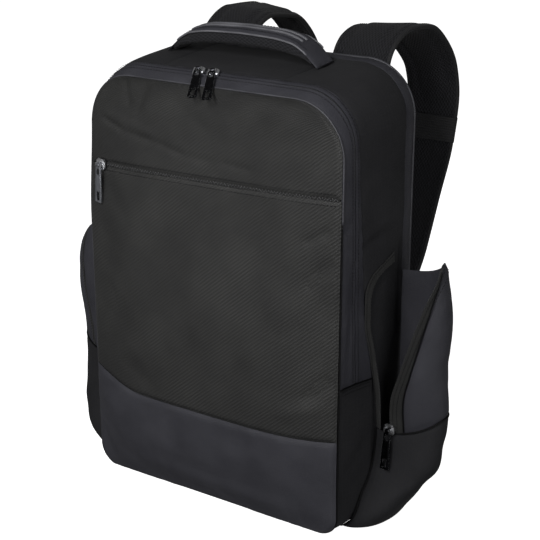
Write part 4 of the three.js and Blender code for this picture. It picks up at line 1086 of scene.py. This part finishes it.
def buildRightPocket():
    own, side = pocket["open"], 1
    fine = 34
    ups = spread(0, 1, fine)

    def tapeEnd(up):
        return pocket["tape"] / roundLength(own, flapPoint, up)

    pocketPanel("cloth_pocket_right_lower", "poly", side, own, basePoint, ups, lambda up: spread(0, 1, fine),
                node="pocket_right_lower", shape=heldPocket)
    tape = pocketPanel("cloth_pocket_right_tape_flap", "zipTape", side, own, flapPoint, ups,
                       lambda up: spread(0, tapeEnd(up), 5), node="pocket_right_tape_flap", sink=0.5,
                       shape=None, seams="abd")
    pocketPanel("cloth_pocket_right_upper", "coated", side, own, flapPoint, ups,
                lambda up: spread(tapeEnd(up), 1, fine), node="pocket_right_upper", shape=heldPocket)
    pocketShadeCord("pocket_right_front_seam_shade", own, side, lambda up: basePoint(own, up, 0), (0.08, 1), 0.8)
    pocketShadeCord("pocket_right_seam_shade", own, side, lambda share: basePoint(own, 1, share), (0.09, 0.99))
    pocketShadeCord("pocket_right_tape_seam_shade", own, side, lambda up: flapPoint(own, up, tapeEnd(up)),
               (0.01, 0.96), 0.7)
    edge = [row[0] for row in tape]
    across = [(row[1] - row[0]).normalized() for row in tape]
    outs = [row[0] for row in normalsOf(tape, lambda p: Vector((0.6, -1, 0.3)))]
    toothLine([p - a * 0.4 - n * 1.2 for p, a, n in zip(edge, across, outs)], outs, span=pocket["openTooth"])
    for inward in pocket["stitchRows"]:
        stitchLine([p + a * inward + n * 0.1 for p, a, n in zip(edge, across, outs)], outs)

    def runPoint(along, across):
        row = {column: readTable(numbered(openZipRun), "at", along, column) for column in openZipRun[0]}
        z = mix(row["baseUp"], row["edgeUp"], across) * pocket["height"]
        y = depthAt(mix(row["baseBack"], row["edgeBack"], across))
        out = mix(attachX(y, z), bag["halfWidth"] + row["edgeOut"] * own["reach"], across)
        return Vector((max(out, attachX(y, z)), y, z))

    grid = [[runPoint(along, across) for across in spread(0, 1, 5)] for along in spread(0, 1, 60)]

    def facing(p):
        return Vector((0.6, -1, 0.3))

    piece = sheetPiece("cloth_pocket_right_tape_bag", grid, 1.4, facing, "zipTape", seams="abc",
                       sink=0.6,
                       pucker=0.3, replaced=("pocket_right_tape_bag",))
    for vertex in piece.data.vertices:
        x, y, z = (c * 1000 for c in vertex.co)
        vertex.co.x = max(x, sideX(y, z) + 0.6) * 0.001
    outs = [row[-1] for row in normalsOf(grid, facing)]
    edge = [row[-1] for row in grid]
    toothLine([p - n * 0.9 for p, n in zip(edge, outs)], outs, span=pocket["openTooth"])
    stitchLine([row[1] + n * 0.1 for row, n in zip(grid, outs)], outs)


back = {"panel": 3, "pad": 7, "sideMargin": 44, "channel": 34, "topMargin": 49, "bottom": 62, "corner": 26,
        "skin": 1.2, "crown": 7, "channels": (0.25, 0.5, 0.75), "channelDepth": 3.6, "channelWidth": 4.5}
backFaceY = rearY + gap / 2 + back["panel"]


def backOutward(p):
    return Vector((0, 1, 0))


def buildBack():
    step = 6.0
    bottom, top = outlineSizes(rearY)[2], outlineSizes(rearY)[1]
    heights = sorted(set(spread(bottom + 0.5, top - 0.5, int((top - bottom) / step))
                         + spread(top - 8, top - 0.6, 5)))
    grid = []
    for z in heights:
        left, right = -sideX(rearY, z) * slumpAt(z) + 1.5, sideX(rearY, z) - 1.5
        grid.append([Vector((x, backFaceY, z)) for x in spread(left, right,
                int(2 * bag["halfWidth"] / step))])
    sheetPiece("cloth_back_panel", grid, back["panel"] - 0.2, backOutward, "mesh", sink=0.9,
               pucker=0.3,
               shape=lambda p: 0.3 * wrinkle(p, 50), replaced=("back_panel",))
    for name, side in (("left", -1), ("right", 1)):
        backPad(name, side)


def backPad(name, side):
    # a foam pad under stretched mesh, sewn down round its edge and across in channels
    near, far = side * back["channel"] / 2, side * (bag["halfWidth"] - back["sideMargin"])
    low, high = min(near, far), max(near, far)
    bottom, top = back["bottom"], bag["height"] - back["topMargin"]
    corner = back["corner"]
    middle = ((low + high) / 2, (bottom + top) / 2)
    half = ((high - low) / 2, (top - bottom) / 2)
    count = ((26, 90))

    def inside(x, z):
        dx = max(abs(x - middle[0]) - (half[0] - corner), 0)
        dz = max(abs(z - middle[1]) - (half[1] - corner), 0)
        straight = min(half[0] - abs(x - middle[0]), half[1] - abs(z - middle[1]))
        return corner - math.hypot(dx, dz) if dx and dz else straight

    grid, heights = [], []
    for v in spread(-1, 1, count[1]):
        v = math.sin(v * math.pi / 2) * 0.35 + v * 0.65
        line = []
        z = middle[1] + v * half[1]
        turned = max(abs(v) * half[1] - (half[1] - corner), 0)
        reach = half[0] - corner + math.sqrt(max(corner ** 2 - turned ** 2, 1))
        for u in spread(-1, 1, count[0]):
            u = math.sin(u * math.pi / 2)
            x = middle[0] + u * reach
            edge = max(inside(x, z), 0)
            rise = (back["pad"] - back["skin"]) * (1 - math.exp(-edge / back["crown"])) + back["skin"]
            for channel in back["channels"]:
                away = abs(z - mix(bottom, top, channel))
                rise -= back["channelDepth"] * math.exp(-(away / back["channelWidth"]) ** 2) * smoothstep(2,
                        14, edge)
            line.append(Vector((x, backFaceY + gap + max(rise, 1.0), z)))
        grid.append(line)
    piece = sheetPiece("pad_back_" + name, grid, 0.9, backOutward, "mesh", seams="", sink=0, pucker=0,
                       shape=lambda p: 0.35 * wrinkle(p, 30), replaced=("back_pad_" + name,))
    for vertex in list(piece.data.vertices)[len(piece.data.vertices) // 2:]:
        vertex.co.y = (backFaceY + gap) * 0.001


handle = {
    "half": 91, "meshHalf": 84, "shift": -6, "rise": 16, "width": 30, "thick": 10, "back": 10,
    "cover": 2.4, "rib": 2, "groove": 0.42, "pipe": 1.1, "ridge": 1.4, "ridgePlace": 0.26,
    "pipeEnd": 0.86, "ridgeEnd": 0.74,
}
handleRows = rowsOf(
    "across rise pad",
    (0.0, 1.0, 1.0), (0.4, 0.92, 1.0), (0.66, 0.72, 1.0), (0.82, 0.42, 0.8), (0.92, 0.1, 0.5),
    (1.0, 0.0, 0.0),
)


def panelTop(y):
    return outlineSizes(y)[1] + gap


def handleAt(share, reach):
    at = abs(share * reach)
    rise = readTable(handleRows, "across", at, "rise") * handle["rise"]
    pad = readTable(handleRows, "across", at, "pad") * handle["thick"]
    return handle["shift"] + share * reach * handle["half"], rise, pad


def loftPiece(name, rings, material, replaced=()):
    around = len(rings[0])
    points, layout = [], []
    run = 0.0
    for i, ring in enumerate(rings):
        if i:
            run += sum((a - b).length for a, b in zip(ring, rings[i - 1])) / around
        turn = 0.0
        for k, p in enumerate(ring):
            turn += (p - ring[k - 1]).length if k else 0
            points.append(p)
            layout.append((turn, run))
    return makeObject(name, points, ringFaces(len(rings), around), material, layout,
                      replaced=replaced)


def superRing(centre, across, up, half, low, high, count, power, upPower=None):
    # a ring between a circle, power 1, and a rectangle, power 0
    ring = []
    for k in range(count):
        angle = 2 * math.pi * k / count
        c, s = math.cos(angle), math.sin(angle)
        a = half * math.copysign(abs(c) ** power, c)
        h = math.copysign(abs(s) ** (upPower or power), s)
        ring.append(centre + across * a + up * (mix(low, high, (h + 1) / 2)))
    return ring


def buildHandle():
    half, steps = handle["width"] / 2, 84
    across = Vector((0, 1, 0))
    up = Vector((0, 0, 1))
    meshRings, coverRings = [], []
    y = handle["back"]
    for share in spread(-1, 1, steps):
        x, rise, pad = handleAt(share, handle["meshHalf"] / handle["half"])
        centre = Vector((x, y, panelTop(y) + rise))
        swell = smoothstep(1, 0.7, abs(share))
        meshRings.append(superRing(centre, across, up, half + 1.6 * swell, 0.1 - 2.6 * swell, max(pad, 0.6),
                                   28, 0.6))
        x, rise, pad = handleAt(share, 1)
        low = pad + gap
        rib = handle["rib"] * (1 - smoothstep(0.5, 0.8, abs(share)))
        ring = []
        edge = half + handle["cover"] / 3
        for a in spread(-1, 1, 32):
            tall = low + handle["cover"] + rib * (1 - a ** 4)
            groove = 1.1 * rib * math.exp(-((abs(a) - handle["groove"]) / 0.1) ** 2)
            drop = handle["cover"] * abs(a) ** 8 * 0.9
            ring.append(Vector((x, y + a * edge, panelTop(y + a * edge) + rise
                                + max(tall - groove - drop, low + 0.4))))
        for a in spread(1, -1, 6):
            ring.append(Vector((x, y + a * edge * 0.99, panelTop(y + a * edge) + rise + low)))
        coverRings.append(ring)
    grip = loftPiece("pad_handle_grip", meshRings, "mesh", ("handle_mesh",))
    cover = loftPiece("cloth_handle_top", coverRings, "coated", ("handle_top",))
    for side, where in ((-1, "front"), (1, "rear")):
        path, line = [], []
        for share in spread(-handle["pipeEnd"], handle["pipeEnd"], steps):
            x, rise, pad = handleAt(share, 1)
            edge = side * (half + 0.6)
            path.append(Vector((x, y + edge, panelTop(y + edge) + rise + pad + gap + 0.7)))
            inner = side * (half - 4)
            rib = handle["rib"] * (1 - smoothstep(0.5, 0.8, abs(share)))
            top = pad + gap + handle["cover"] + rib * (1 - (inner / half) ** 4)
            line.append(Vector((x, y + inner, panelTop(y + inner) + rise + top + 0.1)))
        # the handle's edge piping takes the paler piping colour, a painted highlight along it
        tubePiece("piping_handle_" + where, path, handle["pipe"], "piping", around=8)
        stitchLine(line, [up] * len(line))
        ridge = []
        for share in spread(-handle["ridgeEnd"], handle["ridgeEnd"], steps):
            x, rise, pad = handleAt(share, 1)
            edge = side * half * handle["ridgePlace"]
            ridge.append(Vector((x, y + edge, panelTop(y + edge) + rise + pad + gap + handle["cover"]
                                 + handle["rib"] * (1 - smoothstep(0.5, 0.8, abs(share))) + 0.3)))
        # a pale tube on each ridge of the cover: a painted highlight along the ridge
        tubePiece("highlight_handle_ridge_" + where, ridge, handle["ridge"], "piping", around=8)


strap = {
    "width": 64, "thick": 9, "spread": 86, "reach": 150, "keeper": 22, "keeperPlace": 0.7, "keeperThick": 1.6,
    "webbing": 25, "anchorSpread": 129, "anchorHeight": 20, "anchorWidth": 30,
    "anchorLength": 26, "anchorThick": 2, "buckleLength": 30, "buckleThick": 4, "buckleBar": 4,
    "border": 12, "thin": 6.2, "panelEnd": 0.65, "panelRound": 0.06, "binding": 2.6, "seamIn": 4.2,
}
strapPath = rowsOf(
    "back leftUp rightUp leftOut rightOut twist width",
    (0.0, 0.945, 0.945, 0.97, 0.97, 0, 1.0), (0.015, 0.985, 0.985, 0.98, 0.98, 0, 1.0),
    (0.085, 1.023, 1.022, 0.97, 1.0, 0, 1.0), (0.27, 1.052, 1.044, 0.92, 1.03, -3, 1.0),
    (0.51, 1.047, 1.034, 0.86, 1.07, -8, 0.98), (0.75, 1.001, 0.988, 0.82, 1.1, -13, 0.9),
    (0.91, 0.935, 0.926, 0.82, 1.115, -15, 0.85), (0.97, 0.85, 0.85, 0.86, 1.11, -15, 0.85),
    (0.92, 0.75, 0.75, 0.95, 1.09, -13, 0.87), (0.73, 0.63, 0.63, 1.07, 1.1, -9, 0.87),
    (0.53, 0.515, 0.515, 1.17, 1.15, -5, 0.8), (0.42, 0.455, 0.455, 1.21, 1.19, -3, 0.66),
)
strapLined = numbered(strapPath)


def strapCentre(side, share):
    label = "left" if side < 0 else "right"
    out = readTable(strapLined, "at", share, label + "Out") * strap["spread"]
    up = readTable(strapLined, "at", share, label + "Up") * bag["height"]
    y = backFaceY + gap + strap["thick"] / 2 + readTable(strapLined, "at", share, "back") * strap["reach"]
    return Vector((side * out, y, up))


def strapFrame(side, share):
    along = (strapCentre(side, min(share + 1e-3, 1)) - strapCentre(side, max(share - 1e-3, 0))).normalized()
    twist = math.radians(side * readTable(strapLined, "at", share, "twist"))
    level = Vector((1, 0, 0)) - along * along.x
    across = Matrix.Rotation(twist, 3, along) @ level.normalized()
    return strapCentre(side, share), along, across, along.cross(across)


def buildStrap(name, side):
    steps, count = ((130, 48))
    border, thin = strap["border"], strap["thin"]  # a flat border round the foam panel
    panelEnd, panelRound = strap["panelEnd"], strap["panelRound"]
    rings, edges, seams = [], {-1: [], 1: []}, {-1: [], 1: []}
    seamNormals = []
    for share in spread(0, 1, steps):
        centre, along, across, face = strapFrame(side, share)
        half = strap["width"] / 2 * readTable(strapLined, "at", share, "width")
        ring = []
        ended = min(max((share - panelEnd + panelRound) / panelRound, 0), 1)
        rim = border + (half - border) * (1 - math.sqrt(1 - ended ** 2))
        shown = 1 - smoothstep(0.98, 1, ended)
        for k in range(count):
            angle = 2 * math.pi * k / count
            c, s = math.cos(angle), math.sin(angle)
            a = half * math.copysign(abs(c) ** 0.55, c)
            inward = half - abs(a)
            swell = smoothstep(rim - 1, rim + 5, inward) * shown
            groove = math.exp(-((inward - rim) / 1.7) ** 2) * 1.5 * shown
            thick = (mix(thin, strap["thick"] + 0.6, swell) - 2 * groove) / 2
            edge = smoothstep(0, 2.2, inward)
            height = math.copysign(thick * mix(0.25, 1, edge), s) if abs(s) > 1e-6 else 0
            p = centre + across * a + face * height
            ring.append(p + face * (0.5 * wrinkle(p, 28, 4) * swell))
        rings.append(ring)
        for turn in (-1, 1):
            edges[turn].append(centre + across * (turn * (half - 0.6)))
            seams[turn].append(centre + across * (turn * (half - strap["seamIn"])) + face * (thin / 2 + 0.05))
        seamNormals.append(face)
    pad = loftPiece("pad_strap_" + name, rings, "mesh", ("strap_" + name,))
    for turn in (-1, 1):
        where = "inner" if turn * side < 0 else "outer"
        tubePiece("binding_strap_%s_%s" % (name, where), edges[turn], strap["binding"], "webbing",
                  around=10)
        stitchLine(seams[turn], seamNormals)
        under = [p - n * (thin + 0.1) for p, n in zip(seams[turn], seamNormals)]
        stitchLine(under, [-n for n in seamNormals])
    buildKeeper(name, side)
    buildWebbing(name, side)


def strapSection(side, share, margin):
    centre, _, across, face = strapFrame(side, share)
    half = strap["width"] / 2 * readTable(strapLined, "at", share, "width") + margin
    thick = strap["thick"] / 2 + margin
    return superRing(centre, across, face, half, -thick, thick, 44, 0.4, 0.7)


def buildKeeper(name, side):
    points = [strapCentre(side, share) for share in spread(0, 1, 31)]
    total = sum((b - a).length for a, b in zip(points, points[1:]))
    reach = strap["keeper"] / 2 / total
    shares = spread(strap["keeperPlace"] - reach, strap["keeperPlace"] + reach, 10)
    outer = [strapSection(side, s, 0.8 + strap["keeperThick"]) for s in shares]
    inner = [strapSection(side, s, 0.8) for s in shares]
    rings = outer + inner[::-1]
    points, layout = [], []
    for i, ring in enumerate(rings):
        turn = 0.0
        for k, p in enumerate(ring):
            turn += (p - ring[k - 1]).length if k else 0
            points.append(p)
            layout.append((turn, 2.2 * i))
    faces = ringFaces(len(rings), len(rings[0]), closed=True)
    piece = makeObject("webbing_strap_keeper_" + name, points, faces, "webbing", layout,
                       replaced=("strap_keeper_" + name,))
    sharpenRims(piece)


def buildWebbing(name, side):
    centre, along, across, face = strapFrame(side, 1)
    buckle = centre + along * (gap + strap["buckleLength"] / 2)
    slotPlace = buckle + along * ((strap["buckleLength"] - strap["buckleBar"]) / 4)
    step = strap["buckleThick"] * 1.2

    def slanted(amount):
        return slotPlace + along * amount + face * amount

    anchorY = backFaceY + gap + strap["anchorThick"] / 2
    anchor = Vector((side * strap["anchorSpread"], anchorY, strap["anchorHeight"] + strap["anchorLength"]
                     + gap))
    knots = [
        slanted(-step), slotPlace, slanted(step), slanted(step).lerp(anchor, 0.45),
        anchor + Vector((0, strap["anchorThick"], strap["anchorLength"])), anchor,
    ]
    path = smoothCurve(knots, 70)
    rings = []
    for i, p in enumerate(path):
        direction = (path[min(i + 1, len(path) - 1)] - path[max(i - 1, 0)]).normalized()
        wide = (Vector((1, 0, 0)) - direction * direction.x).normalized()
        rings.append(superRing(p, wide, direction.cross(wide), strap["webbing"] / 2, -0.75, 0.75, 16, 0.35))
    loftPiece("webbing_strap_" + name, rings, "webbing", ("strap_webbing_" + name,))
    low, high = strap["anchorHeight"], strap["anchorHeight"] + strap["anchorLength"]
    rings = []
    for z in spread(low, high, 12):
        wide = strap["anchorWidth"] / 2 - 1.2 * smoothstep(low + 6, low, z)
        rings.append(superRing(Vector((side * strap["anchorSpread"], anchorY, z)), Vector((1, 0, 0)),
                               Vector((0, 1, 0)),
                               wide, -1, 1, 20, 0.3))
    loftPiece("webbing_anchor_" + name, rings, "webbing", ("strap_anchor_" + name,))
    out = Vector((0, 1, 0))
    x, y = side * strap["anchorSpread"], anchorY + 1.05
    a, b = strap["anchorWidth"] / 2 - 3, 3
    corners = [Vector((x - a, y, low + b)), Vector((x + a, y, low + b)), Vector((x + a, y, high - b)),
               Vector((x - a, y, high - b)), Vector((x - a, y, low + b))]
    for start, end in list(zip(corners, corners[1:])) + [(corners[0], corners[2]), (corners[1], corners[3])]:
        stitchLine([start, end], [out, out], 2.6, 1.9)


def smoothCurve(knots, count):
    # an even curve through all knots, as the solids' own curve runs
    out = []
    last = len(knots) - 1
    for i in range(count + 1):
        at = i / count * last
        k = min(int(at), last - 1)
        t = at - k
        p1, p2 = knots[k], knots[k + 1]
        p0 = knots[k - 1] if k else p1 * 2 - p2
        p3 = knots[k + 2] if k + 2 <= last else p2 * 2 - p1
        d1 = max((p1 - p0).length ** 0.5, 1e-4)
        d2 = max((p2 - p1).length ** 0.5, 1e-4)
        d3 = max((p3 - p2).length ** 0.5, 1e-4)
        m1 = ((p1 - p0) / d1 - (p2 - p0) / (d1 + d2) + (p2 - p1) / d2) * d2
        m2 = ((p2 - p1) / d2 - (p3 - p1) / (d2 + d3) + (p3 - p2) / d3) * d2
        knotPart = p1 * (2 * t ** 3 - 3 * t ** 2 + 1) + p2 * (3 * t ** 2 - 2 * t ** 3)
        out.append(knotPart + m1 * (t ** 3 - 2 * t ** 2 + t) + m2 * (t ** 3 - t ** 2))
    return out


def plateNormal(shape):
    # the way the largest faces of a flat casting point
    sums = Vector((0, 0, 0))
    for face in shape.faces:
        way = face.normal * face.calc_area()
        sums += way if way.dot(sums) >= 0 else -way
    return sums.normalized()


def bevelledCopy(node, material, width, rim=None, segments=2, angle=35):
    # the solid's own form with its sharp edges broken, as castings and mouldings have them; where a rim
    # finish is given the broken edges show it, as plating does where it is polished, and its pale, partly
    # matt colour paints their glint
    source = frame["nodes"][node]
    mesh = source.data.copy()
    mesh.name = "finished_" + node
    shape = bmesh.new()
    shape.from_mesh(mesh)
    bmesh.ops.remove_doubles(shape, verts=shape.verts, dist=1e-6)
    bmesh.ops.dissolve_limit(shape, angle_limit=math.radians(3), verts=shape.verts, edges=shape.edges)
    bmesh.ops.recalc_face_normals(shape, faces=shape.faces)
    sharp = [e for e in shape.edges if len(e.link_faces) == 2 and e.calc_face_angle(0) > math.radians(angle)]
    broken = bmesh.ops.bevel(shape, geom=sharp, offset=width * 0.001, segments=segments, profile=0.6,
                             affect="EDGES", clamp_overlap=True, material=-1)
    if rim:
        flats = [face for face in shape.faces if face not in set(broken["faces"])
                 and abs(face.normal.dot(plateNormal(shape))) > 0.99]
        border = bmesh.ops.inset_region(shape, faces=flats, thickness=0.00048, use_even_offset=True)
        for face in broken["faces"] + border["faces"]:
            face.material_index = 1
    for face in shape.faces:
        face.smooth = True
    for edge in shape.edges:
        if len(edge.link_faces) == 2:
            edge.smooth = edge.calc_face_angle(0) < math.radians(40)
    mesh.materials.clear()
    mesh.materials.append(look[material])
    if rim:
        mesh.materials.append(look[rim])
    shape.to_mesh(mesh)
    shape.free()
    piece = bpy.data.objects.new("finished_" + node, mesh)
    bpy.context.scene.collection.objects.link(piece)
    piece.matrix_world = source.matrix_world.copy()
    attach(piece, source["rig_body"])
    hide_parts(node)
    return piece


hardware = {"sliderEdge": 0.35, "pullEdge": 0.32, "buckleEdge": 0.8}


def buildHardware():
    for node in frame["nodes"]:
        if "slider" in node:
            bevelledCopy(node, "bright", hardware["sliderEdge"])
        elif "_pull" in node:
            bevelledCopy(node, "satin" if node == "front_zip_pull" else "metal",
                         hardware["pullEdge"], "rim")
        elif "buckle" in node:
            bevelledCopy(node, "plastic", hardware["buckleEdge"])


buildBody()
print("body made")
buildPiping()
buildFront()
print("front made")
buildLeftPocket()
buildRightPocket()
print("side pockets made")
buildBack()
buildHandle()
for strapName, strapSide in (("left", -1), ("right", 1)):
    buildStrap(strapName, strapSide)
print("back, handle and straps made")
buildHardware()
stitches.make("stitching", "thread")
teeth.make("zip_teeth", "coil")
print("hardware, stitching and zip teeth made")

studio = {
    "eye": (753, -1081, 704), "azimuth": 33.9, "elevation": 19.4, "lens": 87.99,
    "floor": "f4f4f4", "glow": 0.95, "world": 0.15,
    "pool": 62.92, "poolPlace": (0.35, -1.55, 0.9), "poolAim": (0.0, -0.07, 0.31),
    "poolAngle": 21, "poolSoft": 0.12,
    "lamps": [  # name, place, width, power
        ("key", (0.1, -1.4, 1.35), 0.6, 22.79), ("sheen", (-0.55, -1.15, 0.12), 0.45, 3.52),
        ("fill", (1.7, -0.9, 0.35), 1.2, 19.56), ("top", (0.1, 0.5, 1.9), 1.0, 1.29),
    ],
}


def buildStudio():
    floorMesh = bpy.data.meshes.new("floor")
    floorMesh.from_pydata([(-6, -6, 0), (6, -6, 0), (6, 6, 0), (-6, 6, 0)], [], [(0, 1, 2, 3)])
    floor = bpy.data.objects.new("floor", floorMesh)
    bpy.context.scene.collection.objects.link(floor)
    material = startMaterial("pale studio paper", Roughness=0.9, Base_Color=toLinear(studio["floor"]),
                             Emission_Color=(1, 1, 1, 1), Emission_Strength=studio["glow"])[0]
    floorMesh.materials.append(material)
    floor.visible_diffuse = False  # the paper stays white without lighting the bag from below
    floor.visible_glossy = False

    world = bpy.data.worlds.new("studio")
    world.use_nodes = True
    world.node_tree.nodes["Background"].inputs["Color"].default_value = (1, 1, 1, 1)
    world.node_tree.nodes["Background"].inputs["Strength"].default_value = studio["world"]
    bpy.context.scene.world = world

    for name, place, width, power in studio["lamps"]:
        data = bpy.data.lights.new(name, "AREA")
        data.size, data.energy = width, power
        hangLamp(data, place, (0, 0, 0.25))
    pool = bpy.data.lights.new("pool", "SPOT")  # the soft pool of light on the middle of the front
    pool.energy, pool.spot_size, pool.spot_blend = studio["pool"], math.radians(studio["poolAngle"]), 1.0
    pool.shadow_soft_size = studio["poolSoft"]
    hangLamp(pool, studio["poolPlace"], studio["poolAim"])


def hangLamp(data, place, aim):
    lamp = bpy.data.objects.new(data.name, data)
    lamp.location = place
    lamp.rotation_euler = (Vector(aim) - Vector(place)).to_track_quat("-Z", "Y").to_euler()
    bpy.context.scene.collection.objects.link(lamp)


def placeCamera():
    azimuth, elevation = math.radians(studio["azimuth"]), math.radians(studio["elevation"])
    level = math.cos(elevation)
    backward = Vector((math.sin(azimuth) * level, -math.cos(azimuth) * level, math.sin(elevation)))
    data = bpy.data.cameras.new("camera")
    data.lens = studio["lens"]
    data.sensor_width = 36
    data.clip_end = 50
    camera = bpy.data.objects.new("camera", data)
    camera.location = Vector(studio["eye"]) * 0.001
    camera.rotation_euler = (-backward).to_track_quat("-Z", "Y").to_euler()
    bpy.context.scene.collection.objects.link(camera)
    bpy.context.scene.camera = camera


buildStudio()
placeCamera()
bpy.context.scene.view_settings.view_transform = "Standard"
print("studio made")
